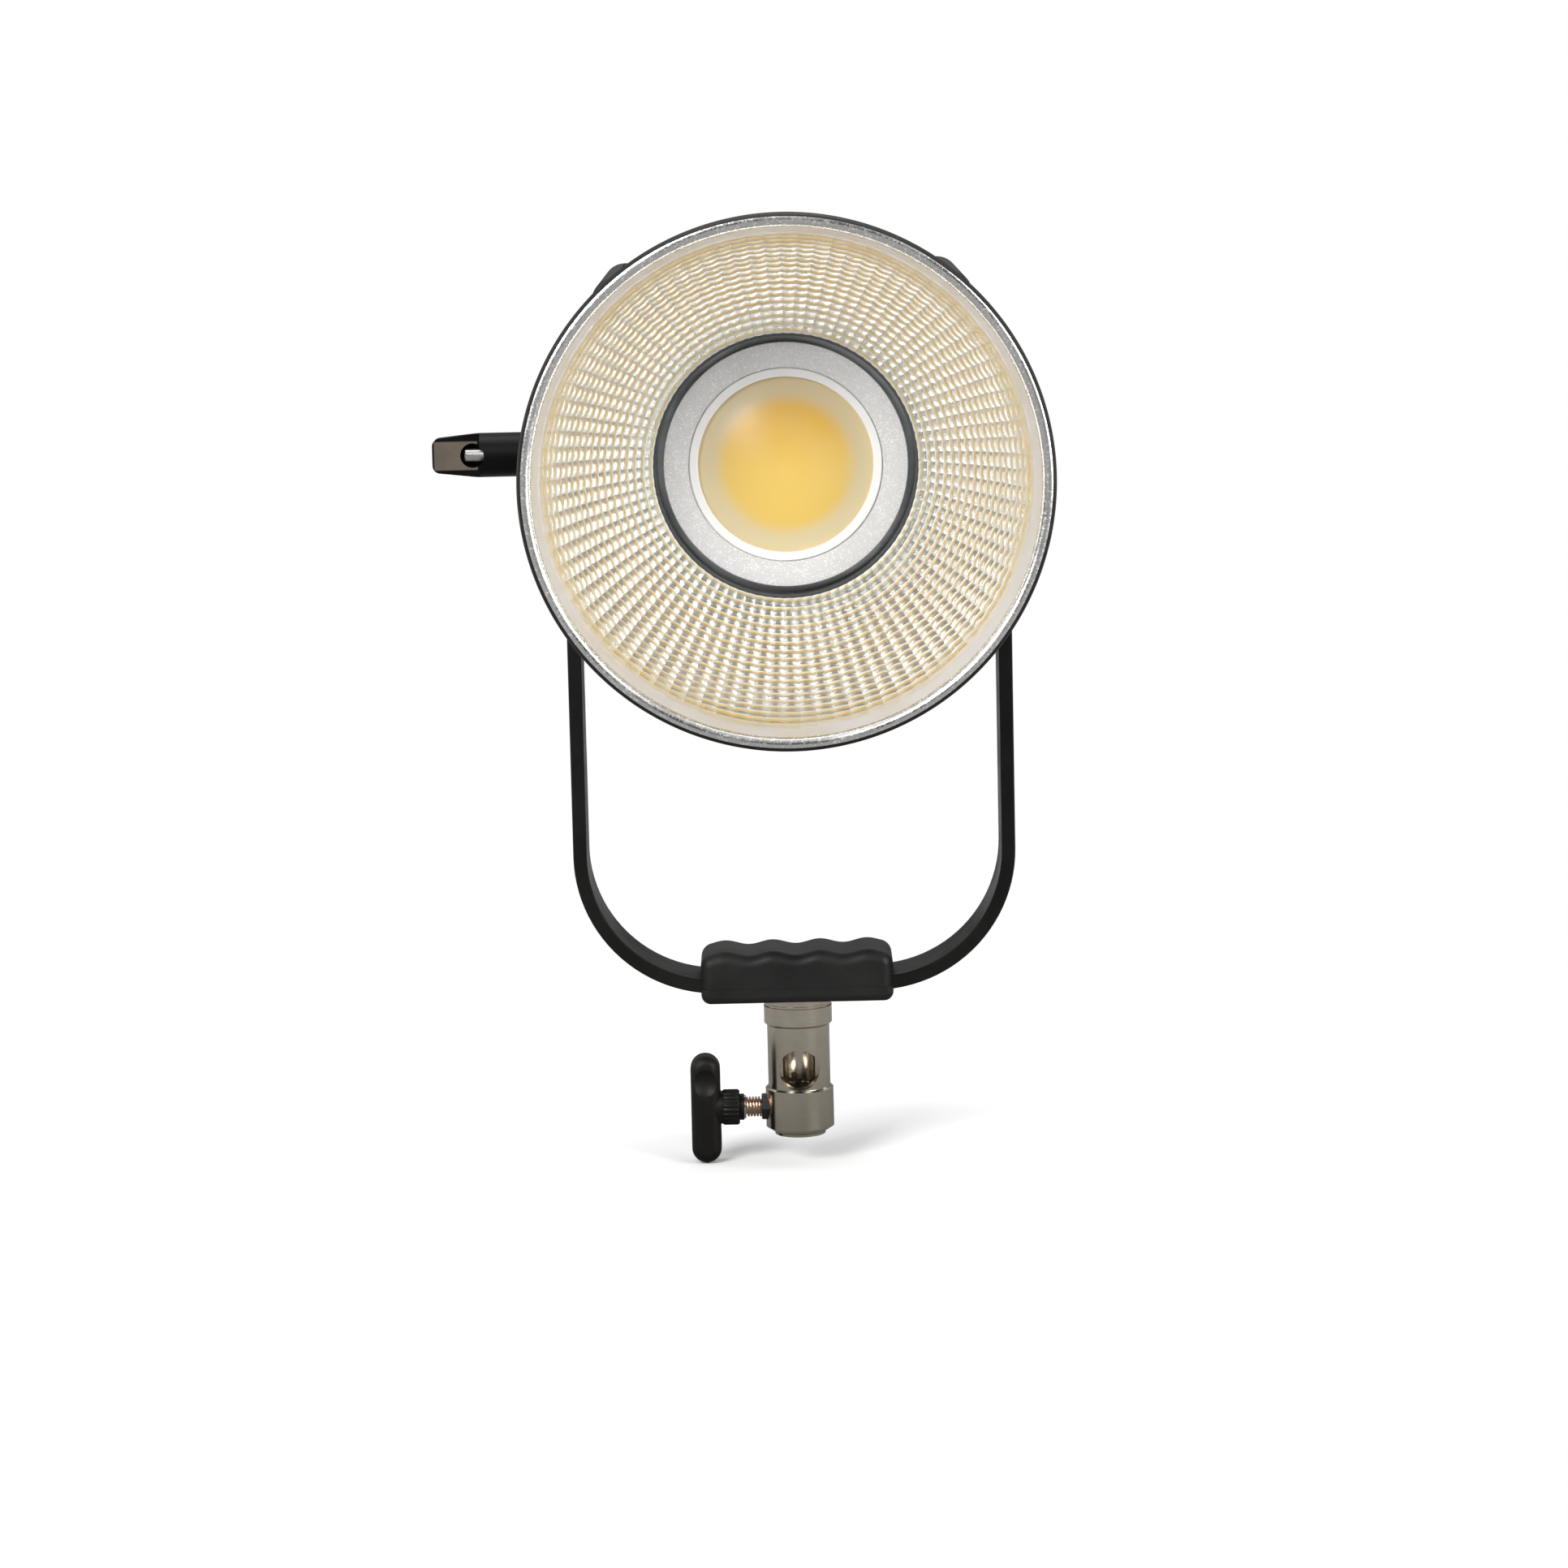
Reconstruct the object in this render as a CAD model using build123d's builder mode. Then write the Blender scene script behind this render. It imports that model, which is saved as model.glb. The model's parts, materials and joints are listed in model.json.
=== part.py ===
from build123d import *
from math import cos, pi, radians, sin, sqrt
import os

os.makedirs("parts", exist_ok=True)

# LED spotlight head with a dimpled reflector, carried in a yoke on a stand receiver.
# Millimetres. Origin: centre of the receiver's mouth. +Z up, the light faces -Y, +X to the
# right seen from the front.

# Heights of the main axes
optic_z = 359.2
pivot_z = 363.7
clamp_z = 14.5

# Fits
running = 0.05
seat = 0.1
play = 0.3
thread_pitch = 1.5

# Yoke strap
strap_width = 38.0
strap_thick = 7.1
yoke_half = 115.6
strap_z = 79.5
bend_radius = 74.0
strap_edge = 0.7

# Hand grip
grip_length = 101.0
grip_width = 44.0
grip_bottom = 73.8
grip_split = 82.0
grip_top = 101.4
grip_wave = 25.0
grip_depth = 2.2
grip_round = 8.0
grip_screw_x = 36.0

# Stand receiver
collar_radius = 18.0
collar_height = 25.6
barrel_radius = 16.5
flange_start = 59.0
spigot_radius = 13.0
bore_radius = 8.15
bore_relief = 8.5
bore_depth = 52.0
window_radius = 10.8
window_z = 36.6
mouth_radius = 13.4
receiver_bolt_radius = 5.0

# Clamp with a T handle
clamp_screw_radius = 4.0
clamp_boss_radius = 5.5
clamp_boss_flats = 12.6
clamp_boss_face = 20.3
clamp_boss_seat = 16.5
clamp_spring_length = 8.3
clamp_wire = 1.1
clamp_coils = 4.5
clamp_washer_thick = 1.0
clamp_hub_radius = 8.85
clamp_hub_step = 7.0
clamp_hub_length = 12.3
handle_thick = 15.8
handle_height = 57.6
handle_depth = 18.0

# Tilt pivot
stud_radius = 5.0
stud_tip_radius = 3.7
bush_wall = 2.0
bush_flange = 1.0
bush_flange_radius = 11.0
friction_thick = 1.0
friction_radius = 22.0
lever_washer_thick = 1.5
lever_radius = 11.5
lever_hub_end = 158.5
lever_end = 183.5
lever_end_half = 8.6
lever_flat = 2.6
lever_back = 8.0
lever_notch_radius = 6.4
stud_end = 166.6

# Casing
case_width = 194.0
case_height = 186.0
case_rise = 3.5
case_corner = 12.0
case_wall = 3.0
case_front = -46.0
frame_thick = 6.0
case_back = 140.0
rail_lap = 12.0
rail_skin = 2.5
boss_radius = 26.0
boss_spigot = 12.0
boss_screw_circle = 19.0
boss_screw_radius = 2.5
boss_head_radius = 4.5
boss_head_depth = 5.4
bracket_thick = 4.0

# Light source
disc_radius = 62.6
disc_front = -49.0
retainer_outer = 49.2
retainer_inner = 44.9
dome_radius = 44.6
dome_rise = 10.0
glass_thick = 3.0
emitter_radius = 26.0
board_side = 64.0

# Cooler and fan
chassis_thick = 4.0
spreader_side = 100.0
spreader_thick = 10.0
pipe_radius = 4.0
pipe_bend = 15.0
pipe_spacing = 24.0
fin_count = 25
fin_spacing = 4.2
fin_thick = 0.8
fin_half_height = 48.0
fin_depth = 52.0
fan_side = 120.0
fan_depth = 25.0
fan_bore = 57.0
fan_blade_radius = 55.5
fan_hub_radius = 22.0
fan_blades = 9
rod_spacing = 52.5

# Bayonet throat and reflector
throat_outer = 80.0
throat_inner = 66.0
throat_sleeve = 1.9
lug_outer = 77.2
lug_count = 3
lug_angle = 30.0
lug_front = -53.2
lug_thick = 2.2
lip_front = -56.0
ring_outer = 74.0
ring_inner = 68.4
ring_back = -50.6
rim_radius = 131.6
rim_front = -166.4
bead_radius = 3.6
bowl_back_radius = 67.6
bowl_back = -58.4
bowl_wall = 1.6
bowl_sag = 6.7
rivet_circle = 76.5
latch_y = -53.0
latch_pin_radius = 2.0
latch_wire = 0.7
latch_turns = 5

# Rear panel, heights measured from the optical axis
grille_z = 46.0
grille_width = 122.0
grille_height = 84.0
grille_thick = 2.5
display_z = -24.0
display_width = 62.0
display_height = 27.0
switch_x = -56.0
switch_z = -70.0
inlet_x = 56.0
inlet_z = -71.6
inlet_radius = 11.0
data_x = 18.0
data_z = -74.0
data_radius = 8.5
knob_x = 58.0
knob_z = -26.0
knob_height = 15.0
encoder_radius = 3.0
button_z = -50.0
button_spacing = 20.0
button_width = 14.0
button_height = 7.0
button_travel = 1.2
rocker_throw = 16.0

# Casing screws and rails
case_screw_radius = 1.5
case_screw_head = 3.3
case_screw_hole = 1.8
case_screw_recess = 3.6
rail_radius = 4.4

# Derived places
arm_top = pivot_z + strap_width / 2
arm_inner = yoke_half - strap_thick
case_half = case_width / 2
case_z = optic_z + case_rise
case_top = case_z + case_height / 2
case_bottom = case_z - case_height / 2
panel_front = case_front + frame_thick
panel_back = case_back - frame_thick
button_places = (-button_spacing, 0, button_spacing)
optic = Axis((0, 0, optic_z), (0, 1, 0))
pivot = Axis((0, 0, pivot_z), (1, 0, 0))
clamp = Axis((0, 0, clamp_z), (1, 0, 0))


def facing(y, z=optic_z):
    """Plane across the optical axis at y: local x is X, local y is Z, normal towards the front."""
    return Plane(origin=(0, y, z), x_dir=(1, 0, 0), z_dir=(0, -1, 0))


def sideways(x, z=pivot_z):
    """Plane across the tilt axis at x: local x is Y, local y is Z, normal along +X."""
    return Plane(origin=(x, 0, z), x_dir=(0, 1, 0), z_dir=(1, 0, 0))


def lathe(low, high, inner, outer, mode=Mode.ADD):
    """Rectangle from low to high along local x and from inner to outer radius along local y."""
    with Locations(((low + high) / 2, (inner + outer) / 2)):
        Rectangle(high - low, outer - inner, mode=mode)


def hoop(inner, outer, front, back, mode=Mode.ADD):
    """Rectangle from inner to outer radius along local x and from front to back along local y."""
    with Locations(((inner + outer) / 2, (front + back) / 2)):
        Rectangle(outer - inner, back - front, mode=mode)


def u_area(half, bottom, radius):
    """Upright U shape filled in, local x along X and local y along Z."""
    with BuildSketch() as area:
        with Locations((0, (bottom + arm_top) / 2)):
            Rectangle(2 * half, arm_top - bottom)
        fillet(area.vertices().group_by(Axis.Y)[0], radius)
    return area.sketch


def case_area(inset):
    """Rounded outline of the casing, inset from its outer face."""
    with BuildSketch() as area:
        with Locations((0, case_rise)):
            RectangleRounded(case_width - 2 * inset, case_height - 2 * inset, case_corner - inset)
    return area.sketch


# ---- Yoke ----
with BuildPart() as yoke_strap:
    with BuildSketch(Plane.XZ):
        add(u_area(yoke_half, strap_z, bend_radius))
        add(u_area(arm_inner, strap_z + strap_thick, bend_radius - strap_thick), mode=Mode.SUBTRACT)
    extrude(amount=strap_width / 2, both=True)
    with BuildSketch(sideways(0)):
        with Locations((0, strap_width / 2)):
            Rectangle(2 * strap_width, strap_width)
        Circle(strap_width / 2, mode=Mode.SUBTRACT)
    extrude(amount=yoke_half + 1, both=True, mode=Mode.SUBTRACT)
    rims = yoke_strap.faces().filter_by(Axis.Y).edges()
    crowns = yoke_strap.edges().filter_by(GeomType.CIRCLE)
    crowns = crowns.filter_by(lambda edge: abs(edge.radius - strap_width / 2) < 0.01)
    chamfer(rims - rims.group_by(Axis.Z)[-1] + crowns, strap_edge)
    with BuildSketch(sideways(0)):
        Circle(stud_radius + running + bush_wall)
    extrude(amount=yoke_half + 1, both=True, mode=Mode.SUBTRACT)
    with BuildSketch(Plane.XY.offset(strap_z)):
        Circle(receiver_bolt_radius + seat)
        with Locations((-grip_screw_x, 0), (grip_screw_x, 0)):
            Circle(2.4)
    extrude(amount=strap_thick + 1, mode=Mode.SUBTRACT)
yoke_strap.part.label = "yoke_strap"
export_step(yoke_strap.part, "parts/yoke_strap.step")

with BuildPart() as strap_room:
    with BuildSketch(Plane.XZ):
        add(u_area(yoke_half + seat, strap_z - seat, bend_radius + seat))
        inner_radius = bend_radius - strap_thick - seat
        add(u_area(arm_inner - seat, strap_z + strap_thick + seat, inner_radius), mode=Mode.SUBTRACT)
    extrude(amount=strap_width / 2 + seat, both=True)

wave_points = []
for step in range(41):
    along = (step / 20 - 1) * grip_length / 2
    wave_points.append((along, grip_top - grip_depth / 2 * (1 + cos(2 * pi * along / grip_wave))))

with BuildPart() as grip_upper:
    with BuildSketch(Plane.XZ) as grip_side:
        with BuildLine():
            Spline(*wave_points)
            low = grip_split + seat
            Polyline(wave_points[-1], (grip_length / 2, low), (-grip_length / 2, low), wave_points[0])
        make_face()
        fillet(grip_side.vertices().group_by(Axis.Y)[-1], grip_round - 1)
    extrude(amount=grip_width / 2, both=True)
    over = grip_upper.edges().filter_by(lambda edge: edge.center().Z > grip_split + 1)
    fillet(over.filter_by(lambda edge: abs(abs(edge.center().Y) - grip_width / 2) < 0.01), grip_round - 2)
    add(strap_room.part, mode=Mode.SUBTRACT)
    with BuildSketch(Plane.XY.offset(strap_z + strap_thick)):
        Circle(11.2)
    extrude(amount=8.6, mode=Mode.SUBTRACT)
    with BuildSketch(Plane.XY.offset(grip_split)):
        with Locations((-grip_screw_x, 0), (grip_screw_x, 0)):
            Circle(2.0)
    extrude(amount=13, mode=Mode.SUBTRACT)
grip_upper.part.label = "grip_upper"
export_step(grip_upper.part, "parts/grip_upper.step")

with BuildPart() as grip_lower:
    with BuildSketch(Plane.XZ) as grip_base:
        with Locations((0, (grip_bottom + grip_split) / 2)):
            Rectangle(grip_length, grip_split - grip_bottom)
        fillet(grip_base.vertices().group_by(Axis.Y)[0], 5)
    extrude(amount=grip_width / 2, both=True)
    under = grip_lower.edges().filter_by(lambda edge: edge.center().Z < grip_split - 1)
    fillet(under.filter_by(lambda edge: abs(abs(edge.center().Y) - grip_width / 2) < 0.01), 4)
    add(strap_room.part, mode=Mode.SUBTRACT)
    with BuildSketch(Plane.XY.offset(grip_bottom)):
        Circle(spigot_radius + seat)
    extrude(amount=8, mode=Mode.SUBTRACT)
    with Locations((-grip_screw_x, 0, grip_bottom), (grip_screw_x, 0, grip_bottom)):
        Cylinder(2.4, 20, mode=Mode.SUBTRACT)
        Cylinder(4.2, 5, mode=Mode.SUBTRACT)
grip_lower.part.label = "grip_lower"
export_step(grip_lower.part, "parts/grip_lower.step")

with BuildPart() as grip_screws:
    with BuildSketch(Plane.XY.offset(grip_bottom + 0.4)):
        with Locations((-grip_screw_x, 0), (grip_screw_x, 0)):
            Circle(4.0)
    extrude(amount=2.1)
    with BuildSketch(Plane.XY.offset(grip_bottom + 0.4)):
        with Locations((-grip_screw_x, 0), (grip_screw_x, 0)):
            RegularPolygon(1.6, 6)
    extrude(amount=1.2, mode=Mode.SUBTRACT)
    with BuildSketch(Plane.XY.offset(grip_bottom + 2)):
        with Locations((-grip_screw_x, 0), (grip_screw_x, 0)):
            Circle(2.0)
    extrude(amount=17)
grip_screws.part.label = "grip_screws"
export_step(grip_screws.part, "parts/grip_screws.step")

with BuildPart() as receiver:
    with BuildSketch(Plane.XZ):
        with BuildLine():
            Polyline(
                (0, 0),
                (mouth_radius, 0),
                (mouth_radius, 1.2),
                (collar_radius, 4.2),
                (collar_radius, collar_height - 0.8),
                (collar_radius - 0.8, collar_height),
                (barrel_radius, collar_height),
                (barrel_radius, flange_start),
                (collar_radius, flange_start + 1.2),
                (collar_radius, 69.4),
                (collar_radius - 0.5, 69.8),
                (collar_radius - 0.5, 70.6),
                (collar_radius, 71.0),
                (collar_radius, grip_bottom),
                (spigot_radius, grip_bottom),
                (spigot_radius, strap_z),
                (0, strap_z),
                close=True,
            )
        make_face()
    revolve(axis=Axis.Z)
    with BuildSketch(Plane.XZ):
        with BuildLine():
            Polyline(
                (0, 0),
                (bore_radius, 0),
                (bore_radius, collar_height),
                (bore_relief, collar_height),
                (bore_relief, bore_depth),
                (0, bore_depth + 4),
                close=True,
            )
        make_face()
    revolve(axis=Axis.Z, mode=Mode.SUBTRACT)
    with BuildSketch(Plane.XZ.offset(collar_radius + 1)):
        with Locations((0, window_z)):
            Circle(window_radius)
    extrude(amount=-collar_radius - 1, mode=Mode.SUBTRACT)
    with BuildSketch(Plane.XY.offset(strap_z)):
        Circle(receiver_bolt_radius)
    extrude(amount=-18, mode=Mode.SUBTRACT)
    with BuildSketch(Plane.XY.offset(clamp_z)):
        lathe(-collar_radius - 1, 0, 0, clamp_boss_radius)
        lathe(-collar_radius - 1, -clamp_boss_seat, 0, 7.8)
    revolve(axis=clamp, mode=Mode.SUBTRACT)
receiver.part.label = "receiver"
export_step(receiver.part, "parts/receiver.step")

with BuildPart() as receiver_bolt:
    with BuildSketch(Plane.XY.offset(strap_z + strap_thick)):
        Circle(10.5)
    extrude(amount=2)
    with BuildSketch(Plane.XY.offset(strap_z + strap_thick + 2)):
        Circle(8)
    extrude(amount=5.6)
    with BuildSketch(Plane.XY.offset(strap_z + strap_thick + 7.6)):
        RegularPolygon(4, 6)
    extrude(amount=-3.5, mode=Mode.SUBTRACT)
    with BuildSketch(Plane.XY.offset(strap_z - 16)):
        Circle(receiver_bolt_radius)
    extrude(amount=strap_thick + 17)
receiver_bolt.part.label = "receiver_bolt"
export_step(receiver_bolt.part, "parts/receiver_bolt.step")

# ---- Stand clamp ----
washer_end = clamp_boss_face + clamp_spring_length
hub_end = washer_end + clamp_washer_thick
bar_face = hub_end + clamp_hub_length
bar_x = bar_face + handle_thick / 2

with BuildPart() as clamp_boss:
    with BuildSketch(sideways(-clamp_boss_face, clamp_z)):
        RegularPolygon(clamp_boss_flats / 2, 6, major_radius=False)
    extrude(amount=clamp_boss_face - clamp_boss_seat)
    chamfer(clamp_boss.faces().sort_by(Axis.X)[0].edges(), 0.5)
    with BuildSketch(sideways(-clamp_boss_seat, clamp_z)):
        Circle(clamp_boss_radius)
    extrude(amount=clamp_boss_seat - bore_radius - 1.2)
    with BuildSketch(sideways(-clamp_boss_face, clamp_z)):
        Circle(clamp_screw_radius + running)
    extrude(amount=clamp_boss_face, mode=Mode.SUBTRACT)
clamp_boss.part.label = "clamp_boss"
export_step(clamp_boss.part, "parts/clamp_boss.step")

with BuildPart() as clamp_washer:
    with BuildSketch(Plane.XY.offset(clamp_z)):
        lathe(-hub_end, -washer_end, clamp_screw_radius + running, 6.2)
    revolve(axis=clamp)
clamp_washer.part.label = "clamp_washer"
export_step(clamp_washer.part, "parts/clamp_washer.step")

spring_radius = clamp_screw_radius + play + clamp_wire / 2
spring_start = -washer_end + clamp_wire / 2
spring_rise = (clamp_spring_length - clamp_wire) / clamp_coils
with BuildPart() as clamp_spring:
    with BuildLine() as clamp_coil:
        Helix(
            pitch=spring_rise,
            height=spring_rise * clamp_coils,
            radius=spring_radius,
            center=(spring_start, 0, clamp_z),
            direction=(1, 0, 0),
        )
    with BuildSketch(Plane(origin=clamp_coil.line @ 0, z_dir=clamp_coil.line % 0)):
        Circle(clamp_wire / 2)
    sweep()
clamp_spring.part.label = "clamp_spring"
export_step(clamp_spring.part, "parts/clamp_spring.step")

with BuildPart() as clamp_screw:
    with BuildSketch(Plane.XY.offset(clamp_z)):
        lathe(-bar_face, -bore_radius - 1.4, 0, clamp_screw_radius)
        lathe(-bore_radius - 1.4, -bore_radius - 0.4, 0, clamp_screw_radius - 0.7)
    revolve(axis=clamp)
clamp_screw.part.label = "clamp_screw"
export_step(clamp_screw.part, "parts/clamp_screw.step")

with BuildPart() as clamp_handle:
    with BuildSketch(Plane.XZ):
        with Locations((-bar_x, clamp_z)):
            SlotOverall(handle_height, handle_thick - 0.1, rotation=90)
    extrude(amount=handle_depth / 2, both=True)
    fillet(clamp_handle.faces().filter_by(Axis.Y).edges(), 5)
    with BuildSketch(Plane.XY.offset(clamp_z)):
        lathe(-bar_x, -hub_end - 2.4, 0, clamp_hub_radius)
        lathe(-hub_end - 2.4, -hub_end, 0, clamp_hub_step)
    revolve(axis=clamp)
    dish = handle_height / 2 - 14
    dish_depth = handle_depth / 2 + 9
    with Locations((-bar_x, -dish_depth, clamp_z + dish), (-bar_x, dish_depth, clamp_z - dish)):
        Sphere(11.5, mode=Mode.SUBTRACT)
    with BuildSketch(Plane.XY.offset(clamp_z)):
        lathe(-bar_face, -hub_end, 0, clamp_screw_radius)
    revolve(axis=clamp, mode=Mode.SUBTRACT)
clamp_handle.part.label = "clamp_handle"
export_step(clamp_handle.part, "parts/clamp_handle.step")

# ---- Tilt pivot and its lock ----
bush_radius = stud_radius + running + bush_wall
flange_face = yoke_half + bush_flange
boss_face = arm_inner - friction_thick - play
boss_end = case_half - case_wall - bracket_thick

with BuildPart() as pivot_bushes:
    with BuildSketch(Plane.XY.offset(pivot_z)):
        for side in (-1, 1):
            lathe(side * arm_inner, side * flange_face, stud_radius + running, bush_radius)
            lathe(side * yoke_half, side * flange_face, stud_radius + running, bush_flange_radius)
    revolve(axis=pivot)
pivot_bushes.part.label = "pivot_bushes"
export_step(pivot_bushes.part, "parts/pivot_bushes.step")

with BuildPart() as pivot_bosses:
    with BuildSketch(Plane.XY.offset(pivot_z)):
        for side in (-1, 1):
            lathe(side * case_half, side * boss_face, stud_radius + running, boss_radius)
            lathe(side * boss_end, side * case_half, stud_radius + running, boss_spigot)
    revolve(axis=pivot)
    rims = pivot_bosses.edges().filter_by(GeomType.CIRCLE).group_by(Edge.length)[-1]
    fillet([rims.sort_by(Axis.X)[0], rims.sort_by(Axis.X)[-1]], 1.5)
    for side in (-1, 1):
        with BuildSketch(sideways(side * boss_face)):
            with PolarLocations(boss_screw_circle, 4, start_angle=45):
                Circle(boss_head_radius + seat)
        extrude(amount=-side * boss_head_depth, mode=Mode.SUBTRACT)
        with BuildSketch(sideways(side * boss_face)):
            with PolarLocations(boss_screw_circle, 4, start_angle=45):
                Circle(boss_screw_radius + seat)
        extrude(amount=-side * (boss_face - case_half), mode=Mode.SUBTRACT)
pivot_bosses.part.label = "pivot_bosses"
export_step(pivot_bosses.part, "parts/pivot_bosses.step")

with BuildPart() as friction_discs:
    with BuildSketch(Plane.XY.offset(pivot_z)):
        for side in (-1, 1):
            disc_face = side * (arm_inner - friction_thick)
            lathe(disc_face, side * arm_inner, bush_radius + play, friction_radius)
    revolve(axis=pivot)
friction_discs.part.label = "friction_discs"
export_step(friction_discs.part, "parts/friction_discs.step")

with BuildPart() as pivot_boss_screws:
    for side in (-1, 1):
        with BuildSketch(sideways(side * (boss_face - 0.4))):
            with PolarLocations(boss_screw_circle, 4, start_angle=45):
                Circle(boss_head_radius)
                RegularPolygon(2.2, 6, mode=Mode.SUBTRACT)
        extrude(amount=-side * 3)
        with BuildSketch(sideways(side * (boss_face - 3.4))):
            with PolarLocations(boss_screw_circle, 4, start_angle=45):
                Circle(boss_head_radius)
        extrude(amount=-side * 2)
        with BuildSketch(sideways(side * (boss_face - boss_head_depth))):
            with PolarLocations(boss_screw_circle, 4, start_angle=45):
                Circle(boss_screw_radius)
        extrude(amount=-side * (boss_face - boss_head_depth - boss_end))
pivot_boss_screws.part.label = "pivot_boss_screws"
export_step(pivot_boss_screws.part, "parts/pivot_boss_screws.step")

with BuildPart() as pivot_bolt:
    with BuildSketch(Plane.XY.offset(pivot_z)):
        lathe(boss_end + 2, flange_face + play, 0, stud_radius)
        lathe(flange_face + play, flange_face + play + 3.6, 0, bush_flange_radius)
    revolve(axis=pivot)
    chamfer(pivot_bolt.faces().sort_by(Axis.X)[-1].edges(), 0.8)
    with BuildSketch(sideways(flange_face + play + 3.6)):
        RegularPolygon(3.5, 6)
    extrude(amount=-2.6, mode=Mode.SUBTRACT)
pivot_bolt.part.label = "pivot_bolt"
export_step(pivot_bolt.part, "parts/pivot_bolt.step")

lever_start = flange_face + lever_washer_thick
with BuildPart() as lever_washer:
    with BuildSketch(Plane.XY.offset(pivot_z)):
        lathe(-lever_start, -flange_face, stud_radius + running, bush_flange_radius - 0.5)
    revolve(axis=pivot)
lever_washer.part.label = "lever_washer"
export_step(lever_washer.part, "parts/lever_washer.step")

stud_step = lever_hub_end - 8
with BuildPart() as tilt_stud:
    with BuildSketch(Plane.XY.offset(pivot_z)):
        lathe(-stud_step, -boss_end - 2, 0, stud_radius)
        lathe(-stud_end, -stud_step, 0, stud_tip_radius)
    revolve(axis=pivot)
    chamfer(tilt_stud.faces().sort_by(Axis.X)[0].edges(), 0.5)
tilt_stud.part.label = "tilt_stud"
export_step(tilt_stud.part, "parts/tilt_stud.step")

with BuildPart() as tilt_lever:
    with BuildSketch(Plane.XZ):
        with BuildLine():
            Polyline(
                (-lever_hub_end + 2, pivot_z + lever_radius),
                (-lever_hub_end, pivot_z + lever_radius),
                (-lever_end, pivot_z + lever_end_half),
                (-lever_end, pivot_z - lever_end_half),
                (-lever_hub_end, pivot_z - lever_radius),
                (-lever_hub_end + 2, pivot_z - lever_radius),
                close=True,
            )
        make_face()
    extrude(amount=lever_flat)
    extrude(faces().sort_by(Axis.Y)[-1], amount=lever_back)
    fillet(tilt_lever.edges().filter_by(Axis.Y).group_by(Axis.X)[0], 4)
    with BuildSketch(sideways(-lever_end)):
        Circle(lever_radius)
    extrude(amount=lever_end, mode=Mode.INTERSECT)
    with BuildSketch(Plane.XY.offset(pivot_z)):
        lathe(-lever_hub_end, -lever_start, 0, lever_radius)
    revolve(axis=pivot)
    with BuildSketch(Plane.XZ.offset(lever_radius)):
        with Locations((-lever_hub_end - 4, pivot_z)):
            Circle(lever_notch_radius)
    extrude(amount=-lever_radius - stud_tip_radius - play, mode=Mode.SUBTRACT)
    with BuildSketch(Plane.XY.offset(pivot_z)):
        lathe(-stud_step, -lever_start, 0, stud_radius)
        lathe(-stud_end, -stud_step, 0, stud_tip_radius)
    revolve(axis=pivot, mode=Mode.SUBTRACT)
tilt_lever.part.label = "tilt_lever"
export_step(tilt_lever.part, "parts/tilt_lever.step")

# ---- Casing ----
corner_x = case_half - case_corner
corner_up = case_height / 2 - case_corner
screw_reach = (case_corner - case_wall - 3.5) / sqrt(2)
screw_spots = []
for side in (-1, 1):
    for up in (-1, 1):
        spot_z = case_rise + up * (corner_up + screw_reach)
        screw_spots.append((side * (corner_x + screw_reach), spot_z))

with BuildPart() as front_frame:
    with BuildSketch(facing(case_front)):
        add(case_area(0))
        Circle(throat_inner + 2, mode=Mode.SUBTRACT)
    extrude(amount=-frame_thick)
    fillet(front_frame.faces().sort_by(Axis.Y)[0].outer_wire().edges(), 2)
    with BuildSketch(facing(case_front)):
        with Locations(*screw_spots):
            Circle(case_screw_recess)
    extrude(amount=-3, mode=Mode.SUBTRACT)
    with BuildSketch(facing(case_front)):
        with Locations(*screw_spots):
            Circle(case_screw_hole)
    extrude(amount=-frame_thick, mode=Mode.SUBTRACT)
front_frame.part.label = "front_frame"
export_step(front_frame.part, "parts/front_frame.step")

with BuildPart() as corner_rails:
    with BuildSketch(facing(panel_front)):
        add(case_area(0))
        add(case_area(case_wall), mode=Mode.SUBTRACT)
        with Locations((0, case_rise)):
            Rectangle(case_width, 2 * corner_up, mode=Mode.SUBTRACT)
            Rectangle(2 * corner_x, case_height, mode=Mode.SUBTRACT)
    extrude(amount=panel_front - panel_back)
    with BuildSketch(facing(panel_front)):
        add(case_area(case_wall))
        add(case_area(case_wall + rail_skin), mode=Mode.SUBTRACT)
        with Locations((0, case_rise)):
            Rectangle(case_width, 2 * (corner_up - rail_lap), mode=Mode.SUBTRACT)
            Rectangle(2 * (corner_x - rail_lap), case_height, mode=Mode.SUBTRACT)
    extrude(amount=panel_front - panel_back)
    with BuildSketch(facing(panel_front)):
        with Locations(*screw_spots):
            Circle(rail_radius)
    extrude(amount=panel_front - panel_back)
    with BuildSketch(facing(panel_front)):
        with Locations(*screw_spots):
            Circle(case_screw_radius)
    extrude(amount=panel_front - panel_back, mode=Mode.SUBTRACT)
corner_rails.part.label = "corner_rails"
export_step(corner_rails.part, "parts/corner_rails.step")

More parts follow.
